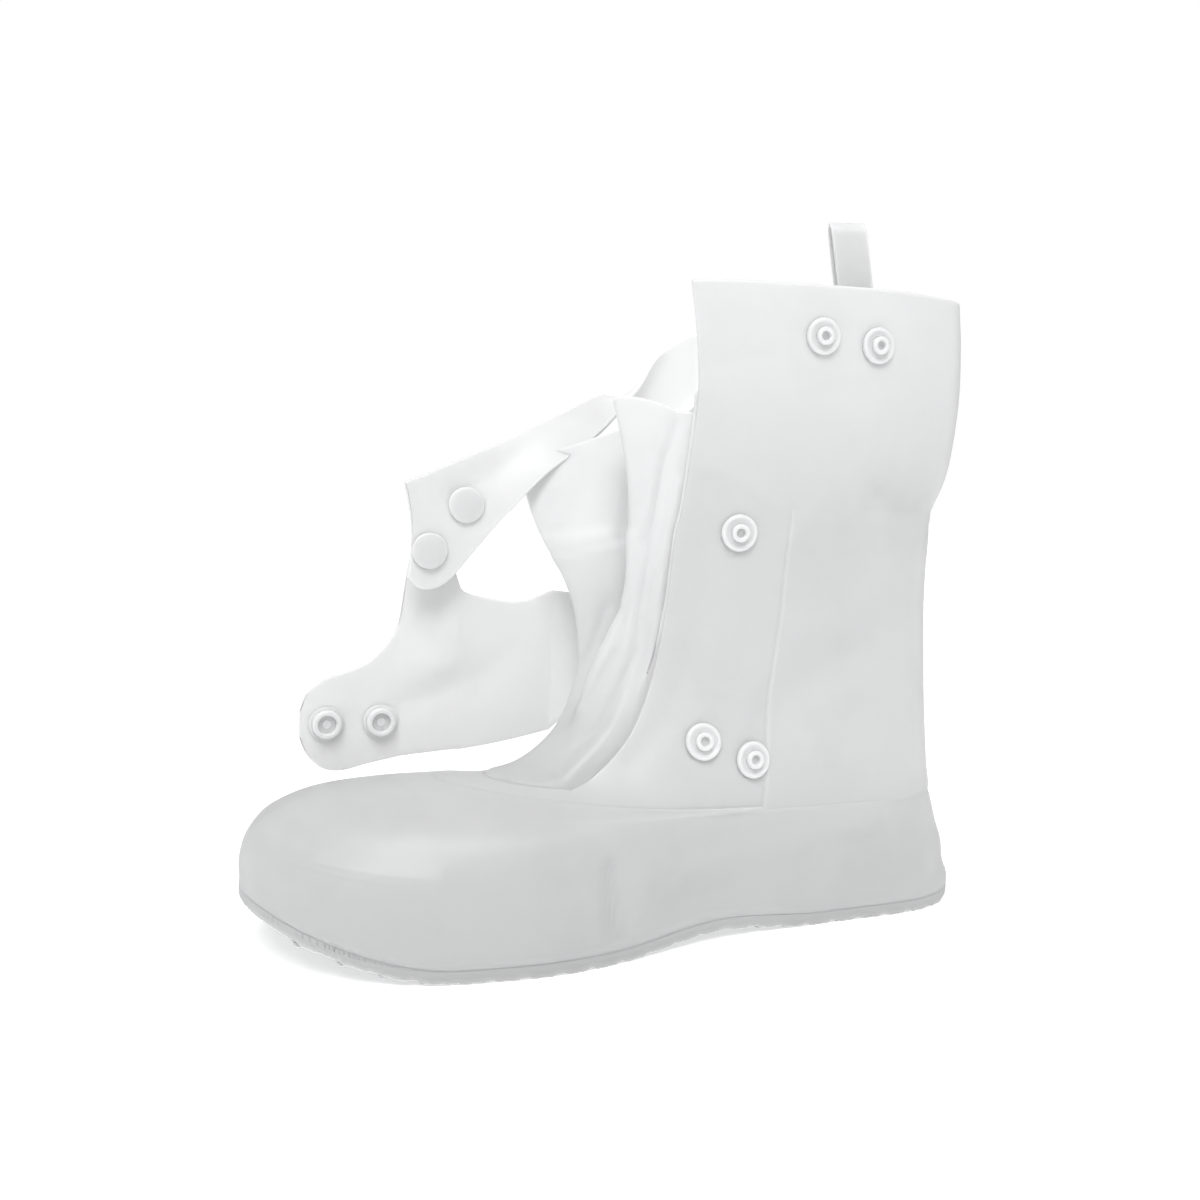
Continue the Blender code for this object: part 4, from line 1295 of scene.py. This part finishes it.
@dataclass
class PullLoop:
    """A band folded over the collar at the back of the medial side."""

    form: OvershoeForm
    place: float = 0.0235
    rise: float = 0.039
    width: float = 0.0165
    wall: float = 0.0015
    upper_wall: float = 0.0018
    gap: float = 0.0003
    lean: float = 0.006
    swell: float = 0.0006
    leg_foot: float = 19.2
    cells: int = 16

    def build(self) -> bpy.types.Object:
        """Makes the band.

        Returns:
            The band.
        """
        top = np.array([float(COLLAR_ROW)])
        tries = np.arange(-3.0, -2.0, 0.01)
        rim = self.form.wall(top, tries)[0]
        middle = tries[np.argmax(rim[:, 0] >= self.place)]
        centre = self.form.wall(top, np.array([middle]))[0, 0]
        tries = np.arange(0.01, 1.0, 0.005)
        away = np.linalg.norm(self.form.wall(top, middle + tries)[0] - centre, axis=-1)
        reach = tries[np.argmax(away >= self.width / 2)]
        columns = middle + reach * np.linspace(-1, 1, self.cells + 1)
        ends = self.form.wall(top, columns[[0, -1]])[0]
        tangent = (ends[1] - ends[0]) / np.linalg.norm(ends[1] - ends[0])
        outer = self.gap + self.wall / 2
        inner = -(self.upper_wall + 2 * self.gap + self.wall / 2)

        def raised(offset: float, rise: float) -> np.ndarray:
            """A row of the band over the collar.

            Args:
                offset: how far outside the form.
                rise: share of the loop's rise.

            Returns:
                The row's points.
            """
            moved = tangent * (self.lean * rise) + np.array([0.0, 0.0, rise * self.rise])
            return self.form.skin(top, columns, offset)[0] + moved

        def leg(offset: float, swell: float) -> list[np.ndarray]:
            """One leg of the band, from its foot up.

            Args:
                offset: how far outside the form.
                swell: how far its middle stands off.

            Returns:
                Its rows.
            """
            rows = list(self.form.skin(np.linspace(self.leg_foot, COLLAR_ROW, 12), columns, offset))
            for rise in np.linspace(0.06, 0.96, 24):
                narrowing = 1 - ease((rise - 0.9) / 0.12)
                middle_offset = (inner + outer) / 2
                puffed = offset + swell * math.sin(math.pi * rise)
                rows.append(raised(middle_offset + (puffed - middle_offset) * narrowing ** 0.5, rise))
            return rows

        crown = [raised((inner + outer) / 2, 1.0)]
        points = np.array(leg(outer, self.swell) + crown + leg(inner, -self.swell)[::-1])
        kept = np.ones(points.shape[:2], bool)
        # A constant tint: a little painted shade over the whole band.
        return Sheet("pull_loop_band", points, kept, self.wall, 0.0, self.form.heel_seat,
                     tint=np.full(points.shape[:2], 0.1)).build()


@dataclass
class Outsole:
    """Tread plate under the upper, with a ragged edge and wavy lug bars across it."""

    form: OvershoeForm
    rand: float = 0.0008
    heel_flange: float = 0.0035
    pitch: float = 0.0123
    bar_length: float = 0.0078
    flank: float = 0.0007
    depth: float = 0.0016
    wave: float = 0.0035
    tip: float = 0.014
    stations: int = 300
    rim: float = 0.0026
    edge_groove: float = 0.35
    chamfer: float = 0.0006
    ragged: float = 0.00025
    bottom_cells: int = 10
    seam: float = 0.0006
    bar_inset: float = 0.0016

    def ends(self) -> tuple[float, float]:
        """Where the sole starts at the heel and ends at the toe."""
        row = self.form.section(np.array([SOLE_ROW]))
        return float(row["back"][0, 0]) - self.heel_flange, float(row["front"][0, 0]) + self.rand

    def edges(self, share: np.ndarray) -> np.ndarray:
        """The sole's lateral and medial outlines at shares of its length, as two rows of points.

        Args:
            share: shares of the length, from the heel.

        Returns:
            Both rows of points, seen from above.
        """
        back, front = self.ends()
        row = self.form.section(np.array([SOLE_ROW]))
        x = back + share * (front - back)
        along = ((x - back) / (front - back))[None, :]
        sides = [self.form.section_points(row, along, np.full(len(x), side))[0, :, 1] + side * self.rand
                 for side in (1.0, -1.0)]
        return np.array([np.stack((x, y), axis=-1) for y in sides])

    def bar_places(self) -> np.ndarray:
        """Where the lug bars cross the sole's edges.

        Returns:
            Places from the heel's back.
        """
        back, front = self.ends()
        first = self.form.heel_seat - 4 * self.pitch
        places = first + np.arange(40) * self.pitch
        return places[(places > back + 0.004) & (places < front - self.tip)]

    def groove(self, x: np.ndarray) -> np.ndarray:
        """How deep the edge's notches are at x, from 0 on a bar to 1 between bars."""
        away = np.abs(np.asarray(x)[:, None] - self.bar_places()[None, :]).min(axis=1)
        return np.clip((away - self.bar_length / 2) / self.flank, 0.0, 1.0)

    def plate(self) -> bpy.types.Object:
        """The plate above the lugs, with a ragged low edge.

        Returns:
            The plate.
        """
        turn = np.linspace(0.012, np.pi - 0.012, self.stations)
        share = (1 - np.cos(turn)) / 2
        edges = self.edges(share)
        loop = np.concatenate((edges[0], edges[1][::-1]))
        tangent = np.roll(loop, -1, axis=0) - np.roll(loop, 1, axis=0)
        normal = np.stack((-tangent[:, 1], tangent[:, 0]), axis=-1)
        normal /= np.linalg.norm(normal, axis=1, keepdims=True)
        chance = np.random.default_rng(7)
        ragged = chance.normal(0.0, 1.0, len(loop))
        ragged = self.ragged * (ragged + np.roll(ragged, 1) + np.roll(ragged, 2)) / 2
        notch = self.depth * self.edge_groove * self.groove(loop[:, 0]) + np.abs(ragged)
        thick = self.form.sole_thickness

        def ring(inset: float, up: np.ndarray | float) -> np.ndarray:
            """A loop of points along the outline.

            Args:
                inset: how far inside the outline.
                up: height over the sole's underside.

            Returns:
                The points.
            """
            at = loop - inset * normal
            return np.concatenate((at, (self.form.sole_rise(at[:, 0]) + up)[:, None]), axis=1)

        rings = [
            ring(0.0040, thick), ring(0.0004, thick + self.seam), ring(0.0, thick + self.seam * 0.9),
            ring(0.0, self.chamfer + 0.0006 + notch), ring(self.chamfer, notch), ring(self.rim, self.depth),
        ]
        count, last = len(loop), len(rings) - 1
        faces = []
        for i in range(last):
            for j in range(count):
                k = (j + 1) % count
                faces.append((i * count + j, i * count + k, (i + 1) * count + k, (i + 1) * count + j))
        points = np.concatenate(rings)
        for start in (0, last * count):
            points, faces = self.bridge(points, faces, start)
        made = mesh_object("outsole_plate", points, faces, self.form.heel_seat)
        face_outward(made.data, MERGE)
        return made

    def bridge(self, points: np.ndarray, faces: list, start: int) -> tuple[np.ndarray, list]:
        """Closes a ring of the plate, from its lateral half across to its medial half.

        Args:
            points: the plate's points.
            faces: its faces.
            start: the ring's first point.

        Returns:
            The points and faces with those of the closing sheet.
        """
        lateral = start + np.arange(self.stations)
        medial = start + 2 * self.stations - 1 - np.arange(self.stations)
        columns = [lateral]
        for share in np.arange(1, self.bottom_cells) / self.bottom_cells:
            columns.append(len(points) + np.arange(self.stations))
            between = points[lateral] + share * (points[medial] - points[lateral])
            points = np.concatenate((points, between))
        columns.append(medial)
        for a, b in zip(columns, columns[1:]):
            faces += [(int(a[i]), int(a[i + 1]), int(b[i + 1]), int(b[i])) for i in range(self.stations - 1)]
        return points, faces

    def bar_lines(self) -> bpy.types.Object:
        """The lug bars' middle lines, as chains of edges across the sole.

        Returns:
            The object that holds them.
        """
        back, front = self.ends()
        t = np.linspace(-1.0, 1.0, 33)
        points, edges = [], []
        for at in self.bar_places():
            share = (at - back) / (front - back)
            calm = min(1.0, max(0.0, share - 0.1) * 8, max(0.0, 0.92 - share) * 12)
            x = at + self.wave * calm * np.copysign((1 - np.cos(2 * np.pi * t)) / 2, t)
            reach = self.bar_length / 2 + self.flank
            sides = [self.edges(np.clip((x + away - back) / (front - back), 0.0, 1.0))[..., 1]
                     for away in (-reach, reach)]
            high, low = np.minimum(*[s[0] for s in sides]), np.maximum(*[s[1] for s in sides])
            y = (high + low) / 2 + ((high - low) / 2 - self.bar_inset) * t
            start = len(points)
            z = self.form.sole_rise(x) + self.depth
            points += list(zip(x - self.form.heel_seat, y, z))
            edges += [(start + i, start + i + 1) for i in range(len(t) - 1)]
        mesh = bpy.data.meshes.new("outsole_lugs")
        mesh.from_pydata(points, edges, [])
        return linked("outsole_lugs", mesh)

    def build(self, finish: bpy.types.Material) -> list[bpy.types.Object]:
        """Makes the plate and its lug bars.

        Args:
            finish: the tread's material.

        Returns:
            The plate and the bars.
        """
        plate = self.plate()
        plate.data.materials.append(finish)
        lugs = self.bar_lines()
        sizes = {"Bar length": self.bar_length, "Flank": self.flank, "Depth": self.depth, "Finish": finish}
        grown(lugs, lug_tree(), sizes)
        smooth_shaded(lugs, 30.0)
        smooth_shaded(plate, 50.0)
        return [plate, lugs]


@dataclass
class Snaps:
    """Resin snaps: studs on the lateral quarter and sockets on the flap."""

    form: OvershoeForm
    flap: ClosureFlap
    radius: float = 0.0070
    thickness: float = 0.0016
    boss: float = 0.0034
    boss_rise: float = 0.0030
    recess: float = 0.0018
    barrel: float = 0.0056
    barrel_rise: float = 0.0034
    bore: float = 0.0036
    gap: float = 0.0003
    upper_wall: float = 0.0018
    studs: tuple[tuple[float, float], ...] = (
        (0.430, 0.918), (0.598, 0.926), (0.812, 0.621), (0.912, 0.302), (0.770, 0.272),
    )
    strap_seats: tuple[tuple[float, float], ...] = ((0.66, 0.47), (0.846, 0.34))
    lobe_seats: tuple[tuple[float, float], ...] = ((0.414, 0.895), (0.72, 0.36), (0.87, 0.50))

    def stud_seats(self) -> list[tuple[np.ndarray, np.ndarray, float, float]]:
        """Place, outward normal, and how far the wall strays out and in under each stud.

        Returns:
            A tuple for each stud.
        """
        seats = []
        for forward, up in self.studs:
            place, normal = self.form.on_side(forward * self.form.shaft_depth, up * self.form.collar_height)
            steps = [i * self.radius / 2 for i in range(-2, 3)]
            near = [self.form.on_side(place[0] + a, place[2] + b)[0] for a in steps for b in steps]
            seats.append((place, normal, *self.strays(place, normal, near)))
        return seats

    def socket_seats(self) -> list[tuple[np.ndarray, np.ndarray, float, float]]:
        """Place, inner normal, and how far the flap strays under each socket.

        Returns:
            A tuple for each socket.
        """
        seats = []
        groups = ((self.flap.strap, self.strap_seats, -1.0), (self.flap.lobe, self.lobe_seats, 1.0))
        for grid, shares, face in groups:
            for along, across in shares:
                step = 0.01
                steps = np.array([-step, 0.0, step])
                near = grid(along + steps, across + steps)
                normal = np.cross(near[2, 1] - near[0, 1], near[1, 2] - near[1, 0]) * face
                normal /= np.linalg.norm(normal)
                spread = np.arange(-12, 13) / 60
                wide = grid(along + spread, across + 3 * spread).reshape(-1, 3)
                seats.append((near[1, 1], normal, *self.strays(near[1, 1], normal, wide)))
        return seats

    def strays(
        self, place: np.ndarray, normal: np.ndarray, samples: Sequence[np.ndarray],
    ) -> tuple[float, float]:
        """How far samples under a snap stray from its seat, along its normal and against it.

        Args:
            place: the snap's place.
            normal: its direction.
            samples: points of the wall near it.

        Returns:
            Both distances.
        """
        samples = np.array(samples)
        near = samples[np.linalg.norm(samples - place, axis=1) < 1.2 * self.radius]
        along = (near - place) @ normal
        return max(0.0, float(along.max())), max(0.0, float(-along.min()))

    def stud_head(self) -> list[tuple[float, float]]:
        """Profile of a stud's disc with its rim and its hollow boss, up from its seat.

        Returns:
            Points of radius and height.
        """
        r, t = self.radius, self.thickness
        return [
            (0.0, t * 0.62), (self.recess * 0.8, t * 0.60), (self.recess, t * 0.8),
            (self.recess, self.boss_rise - 0.0003), (self.recess + 0.0003, self.boss_rise),
            (self.boss - 0.0004, self.boss_rise), (self.boss, self.boss_rise - 0.0004),
            (self.boss, t * 0.62), (self.boss + 0.0004, t * 0.70), (r - 0.0022, t * 0.72),
            (r - 0.0016, t * 0.84), (r - 0.0013, t * 0.97), (r - 0.0008, t), (r - 0.0003, t * 0.85),
            (r, t * 0.5), (r - 0.0001, 0.0), (0.0, 0.0),
        ]

    def barrel_profile(self) -> list[tuple[float, float]]:
        """Profile of a socket's open barrel, up from the flap's inner face.

        Returns:
            Points of radius and height.
        """
        rise = self.barrel_rise
        return [
            (0.0, 0.0016), (self.bore * 0.45, 0.0016), (self.bore * 0.5, 0.0011),
            (self.bore - 0.0002, 0.0009), (self.bore, 0.0012), (self.bore, rise - 0.0004),
            (self.bore + 0.0003, rise), (self.barrel - 0.0005, rise), (self.barrel, rise - 0.0005),
            (self.barrel, 0.0008), (self.barrel + 0.0008, 0.0005), (self.radius - 0.0002, 0.0004),
            (self.radius - 0.0002, 0.0), (0.0, 0.0),
        ]

    def cap_profile(self) -> list[tuple[float, float]]:
        """Profile of the smooth domed cap on a snap's other face.

        Returns:
            Points of radius and height.
        """
        r, t = self.radius, self.thickness
        turns = np.linspace(0.0, 0.5 * math.pi, 12)
        dome = [(r * math.sin(a), t * (0.45 + 0.55 * math.cos(a))) for a in turns]
        return dome + [(r, t * 0.2), (r - 0.0003, 0.0), (0.0, 0.0)]

    def build(
        self, finish: bpy.types.Material, cap_finish: bpy.types.Material,
    ) -> dict[str, bpy.types.Object]:
        """Makes the studs' heads and caps, and the sockets' barrels and caps.

        Args:
            finish: the resin's material.
            cap_finish: the material of the caps.

        Returns:
            The pieces by name.
        """
        half = self.flap.wall / 2 + self.gap
        inner = self.upper_wall + self.gap
        studs, sockets = self.stud_seats(), self.socket_seats()
        groups = {
            "stud_heads": (self.stud_head(), [(p + n * (self.gap + a), n) for p, n, a, _ in studs]),
            "stud_caps": (self.cap_profile(), [(p - n * (inner + u), -n) for p, n, _, u in studs]),
            "socket_barrels": (self.barrel_profile(), [(p + n * (half + a), n) for p, n, a, _ in sockets]),
            "socket_caps": (self.cap_profile(), [(p - n * (half + u), -n) for p, n, _, u in sockets]),
        }
        made = {}
        for name, (profile, seats) in groups.items():
            points = seat_points(name, seats, self.form.heel_seat)
            snap = turned(f"{name}_profile", profile)
            # The caps take the resin's darker copy: painted shade on faces that catch the light.
            dress = cap_finish if name.endswith("caps") else finish
            grown(points, seat_tree(), {"Snap": snap, "Finish": dress})
            bpy.data.objects.remove(snap, do_unlink=True)
            smooth_shaded(points, 35.0)
            made[name] = points
        return made


# Geometry Nodes

class SocketKind(Enum):
    """Kinds of inputs of a node tree."""

    LENGTH = "NodeSocketFloat"
    OBJECT = "NodeSocketObject"
    MATERIAL = "NodeSocketMaterial"


def new_tree(
    name: str, inputs: dict[str, SocketKind],
) -> tuple[bpy.types.NodeTree, Callable[..., bpy.types.Node]]:
    """A geometry tree with named inputs.

    Args:
        name: the tree's name.
        inputs: its inputs' names and kinds.

    Returns:
        The tree, and a function that makes a node in it.
    """
    tree = bpy.data.node_groups.new(name, "GeometryNodeTree")
    tree.interface.new_socket(name="Geometry", in_out="INPUT", socket_type="NodeSocketGeometry")
    for label, kind in inputs.items():
        tree.interface.new_socket(name=label, in_out="INPUT", socket_type=kind.value)
    tree.interface.new_socket(name="Geometry", in_out="OUTPUT", socket_type="NodeSocketGeometry")

    def node(kind: str, settings: dict[str, object] | None = None, **links: object) -> bpy.types.Node:
        """Makes a node in the tree.

        Args:
            kind: the node's type.
            settings: its settings, set before its inputs.
            **links: links or values of its inputs, by name.

        Returns:
            The node.
        """
        made = tree.nodes.new(kind)
        for key, value in (settings or {}).items():
            setattr(made, key, value)
        for key, value in links.items():
            socket = Graph.pick(made.inputs, key)
            if isinstance(value, bpy.types.NodeSocket):
                tree.links.new(value, socket)
            else:
                socket.default_value = value
        return made

    return tree, node


def seat_tree() -> bpy.types.NodeTree:
    """A snap at each point, turned to face the point's own direction.

    Returns:
        The tree.
    """
    tree, node = new_tree("snaps", {"Snap": SocketKind.OBJECT, "Finish": SocketKind.MATERIAL})
    given = node("NodeGroupInput").outputs
    facing = node("GeometryNodeInputNamedAttribute", {"data_type": "FLOAT_VECTOR"}, Name="facing")
    turn = node("FunctionNodeAlignRotationToVector", {"axis": "Z"}, Vector=facing.outputs[0])
    snap = node("GeometryNodeObjectInfo", None, Object=given["Snap"])
    placed = node("GeometryNodeInstanceOnPoints", None, Points=given["Geometry"],
                  Instance=snap.outputs["Geometry"], Rotation=turn.outputs[0])
    real = node("GeometryNodeRealizeInstances", None, Geometry=placed.outputs[0])
    dressed = node("GeometryNodeSetMaterial", None, Geometry=real.outputs[0], Material=given["Finish"])
    node("NodeGroupOutput", None, Geometry=dressed.outputs[0])
    return tree


def lug_tree() -> bpy.types.NodeTree:
    """A bar with sloping flanks along each line.

    Returns:
        The tree.
    """
    lengths = {"Bar length": SocketKind.LENGTH, "Flank": SocketKind.LENGTH, "Depth": SocketKind.LENGTH}
    tree, node = new_tree("lug_bars", {**lengths, "Finish": SocketKind.MATERIAL})
    given = node("NodeGroupInput").outputs
    path = node("GeometryNodeMeshToCurve", None, Mesh=given["Geometry"])
    upright = node("GeometryNodeSetCurveNormal", {"mode": "Z_UP"}, Curve=path.outputs[0])
    flanks = node("ShaderNodeMath", {"operation": "MULTIPLY_ADD"},
                  n0=given["Flank"], n1=2.0, n2=given["Bar length"])
    shape = node("GeometryNodeCurvePrimitiveQuadrilateral", {"mode": "TRAPEZOID"},
                 Bottom_Width=flanks.outputs[0], Top_Width=given["Bar length"],
                 Height=given["Depth"], Offset=0.0)
    offset = node("ShaderNodeMath", {"operation": "MULTIPLY"}, n0=given["Depth"], n1=0.5)
    shift = node("ShaderNodeCombineXYZ", None, Y=offset.outputs[0])
    low = node("GeometryNodeTransform", None, Geometry=shape.outputs[0], Translation=shift.outputs[0])
    bars = node("GeometryNodeCurveToMesh", None, Curve=upright.outputs[0],
                Profile_Curve=low.outputs[0], Fill_Caps=True)
    real = node("GeometryNodeRealizeInstances", None, Geometry=bars.outputs[0])
    dressed = node("GeometryNodeSetMaterial", None, Geometry=real.outputs[0], Material=given["Finish"])
    node("NodeGroupOutput", None, Geometry=dressed.outputs[0])
    return tree


def grown(made: bpy.types.Object, tree: bpy.types.NodeTree, values: dict[str, object]) -> None:
    """Runs a tree on an object and keeps the result as its mesh.

    Args:
        made: the object whose mesh the tree reads.
        tree: the node tree.
        values: the tree's inputs by name.
    """
    modifier = made.modifiers.new(tree.name, "NODES")
    modifier.node_group = tree
    for item in tree.interface.items_tree:
        if item.in_out == "INPUT" and item.name in values:
            modifier[item.identifier] = values[item.name]
    made.update_tag()
    applied(made)
    face_outward(made.data)


def turned(name: str, profile: Sequence[tuple[float, float]], steps: int = 48) -> bpy.types.Object:
    """A closed turned mesh round +Z from (radius, height) points that start and end on the axis.

    Args:
        name: the object's name.
        profile: the points.
        steps: how many steps make the turn.

    Returns:
        The object.
    """
    form = bmesh.new()
    chain = [form.verts.new((radius, 0.0, height)) for radius, height in profile]
    edges = [form.edges.new(pair) for pair in zip(chain, chain[1:])]
    bmesh.ops.spin(form, geom=chain + edges, axis=(0, 0, 1), cent=(0, 0, 0), angle=math.tau, steps=steps)
    bmesh.ops.remove_doubles(form, verts=form.verts[:], dist=MERGE)
    bmesh.ops.recalc_face_normals(form, faces=form.faces[:])
    mesh = bpy.data.meshes.new(name)
    form.to_mesh(mesh)
    form.free()
    return linked(name, mesh)


def seat_points(
    name: str, seats: Sequence[tuple[np.ndarray, np.ndarray]], set_back: float,
) -> bpy.types.Object:
    """Loose points with the direction that each faces.

    Args:
        name: the object's name.
        seats: places and directions.
        set_back: how far the places move back.

    Returns:
        The object.
    """
    mesh = bpy.data.meshes.new(name)
    places = [(p[0] - set_back, p[1], p[2]) for p, _ in seats]
    mesh.from_pydata(places, [], [])
    facing = mesh.attributes.new("facing", "FLOAT_VECTOR", "POINT")
    facing.data.foreach_set("vector", np.array([n for _, n in seats], np.float32).reshape(-1))
    return linked(name, mesh)


# The studio

@dataclass
class Studio:
    """Pale floor, soft light and the camera at the photograph's angle."""

    form: OvershoeForm
    eye: tuple[float, float, float] = (0.3697, 0.4533, 0.1595)
    yaw: float = 25.01
    pitch: float = 3.99
    roll: float = 1.55
    focal_pixels: float = 1310.0
    picture_pixels: float = 1200.0
    sensor: float = 36.0
    floor_size: float = 60.0
    sky: float = 0.50
    sun: float = 2.3
    sun_spread: float = 34.0
    sun_from: tuple[float, float, float] = (0.45, 0.80, 1.2)

    def camera(self) -> bpy.types.Object:
        """Makes the camera.

        Returns:
            The camera.
        """
        yaw, pitch, roll = map(math.radians, (self.yaw, self.pitch, self.roll))
        flat = math.cos(pitch)
        ahead = Vector((-math.sin(yaw) * flat, -math.cos(yaw) * flat, -math.sin(pitch)))
        level = Vector((-math.cos(yaw), math.sin(yaw), 0.0))
        up = level.cross(ahead)
        right = level * math.cos(roll) + up * math.sin(roll)
        top = up * math.cos(roll) - level * math.sin(roll)
        data = bpy.data.cameras.new("camera")
        data.sensor_width = self.sensor
        data.lens = self.focal_pixels / self.picture_pixels * self.sensor
        data.clip_start, data.clip_end = 0.01, 50.0
        made = linked("camera", data)
        matrix = Matrix((right, top, -ahead)).transposed().to_4x4()
        matrix.translation = Vector(self.eye) - Vector((self.form.heel_seat, 0.0, 0.0))
        made.matrix_world = matrix
        bpy.context.scene.camera = made
        return made

    def floor(self, finish: bpy.types.Material) -> bpy.types.Object:
        """Makes the floor.

        Args:
            finish: the floor's material.

        Returns:
            The floor.
        """
        half = self.floor_size / 2
        mesh = bpy.data.meshes.new("floor")
        corners = [(-half, -half, 0), (half, -half, 0), (half, half, 0), (-half, half, 0)]
        mesh.from_pydata(corners, [], [(0, 1, 2, 3)])
        mesh.materials.append(finish)
        made = linked("floor", mesh)
        return made

    def light(self) -> None:
        """Makes the sky, white where the camera sees it and dimmer on the shoe, and a soft sun."""
        world = bpy.data.worlds.new("sky")
        world.use_nodes = True
        nodes, links = world.node_tree.nodes, world.node_tree.links
        path = nodes.new("ShaderNodeLightPath")
        strength = nodes.new("ShaderNodeMapRange")
        strength.inputs["To Min"].default_value = self.sky
        strength.inputs["To Max"].default_value = 1.0
        links.new(path.outputs["Is Camera Ray"], strength.inputs["Value"])
        background = nodes["Background"]
        background.inputs["Color"].default_value = (1.0, 1.0, 1.0, 1.0)
        links.new(strength.outputs["Result"], background.inputs["Strength"])
        bpy.context.scene.world = world
        data = bpy.data.lights.new("window", "SUN")
        data.energy = self.sun
        data.angle = math.radians(self.sun_spread)
        lamp = linked("window", data)
        lamp.rotation_euler = (-Vector(self.sun_from)).to_track_quat("-Z", "Y").to_euler()
        bpy.context.scene.view_settings.view_transform = "Standard"


def finished(piece: bpy.types.Object, slot: str, *nodes: str) -> None:
    """Rides a piece on the shoe, in place of CAD nodes.

    Args:
        piece: the piece.
        slot: not used.
        *nodes: the nodes that it replaces.
    """
    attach(piece, ROOT)
    if nodes:
        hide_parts(*nodes)
    faces = len(piece.data.polygons)
    LOG.info("%s: %d faces", piece.name, faces)


def main() -> None:
    """Builds the shoe and its studio."""
    logging.basicConfig(level=logging.INFO, format="%(message)s")
    form = OvershoeForm()
    studio = Studio(form)
    studio.camera()
    silicone = SiliconeFinish("milky_silicone").material()
    # Each finish's greys by height are painted shade; the tread's are darkest at the floor.
    tread = SiliconeFinish(
        "tread_silicone", tones=((0.0, 168.0), (8.0, 179.0), (24.0, 183.0)), roughness=0.48, inner_light=0.05,
    ).material()
    # The gusset's copy: a stronger painted glow that lightens its shaded inside.
    folds = SiliconeFinish(
        "gusset_silicone", inner_light=0.17,
        tones=((0.0, 178.0), (62.0, 181.0), (85.0, 191.0), (140.0, 204.0), (210.0, 210.0)),
    ).material()
    # The flap's copy: lighter greys and a painted glow, strongest at the strap's root, over its shade.
    flap_skin = SiliconeFinish(
        "flap_silicone", inner_light=0.11, thick=0.0, lit_by_tint=True,
        tones=((0.0, 213.0), (90.0, 211.0), (140.0, 209.0), (240.0, 207.0)),
    ).material()
    resin = ResinFinish("snap_resin").material()
    # A darker copy of the resin for the caps: painted shade, as they face the light.
    shaded_cap_resin = ResinFinish("snap_cap_resin", colour=grey(203.0), shade=grey(198.0)).material()
    flap = ClosureFlap(form)
    soft = {
        "upper": Upper(form).build(),
        "gusset": Gusset(form).build(),
        "closure_flap": flap.build(),
        "pull_loop": PullLoop(form).build(),
    }
    for node, piece in soft.items():
        piece.data.materials.append({"gusset": folds, "closure_flap": flap_skin}.get(node, silicone))
        finished(piece, "silicone", node)
    plate, lugs = Outsole(form).build(tread)
    finished(plate, "tread_silicone", "outsole")
    finished(lugs, "tread_silicone", "outsole")
    snaps = Snaps(form, flap).build(resin, shaded_cap_resin)
    for name, piece in snaps.items():
        kind = "snap_stud" if name.startswith("stud") else "snap_socket"
        finished(piece, "snap_resin", *[f"{kind}_{i}" for i in range(1, 6)])
    studio.floor(FloorFinish().material())
    studio.light()


if __name__ == "__main__":
    main()
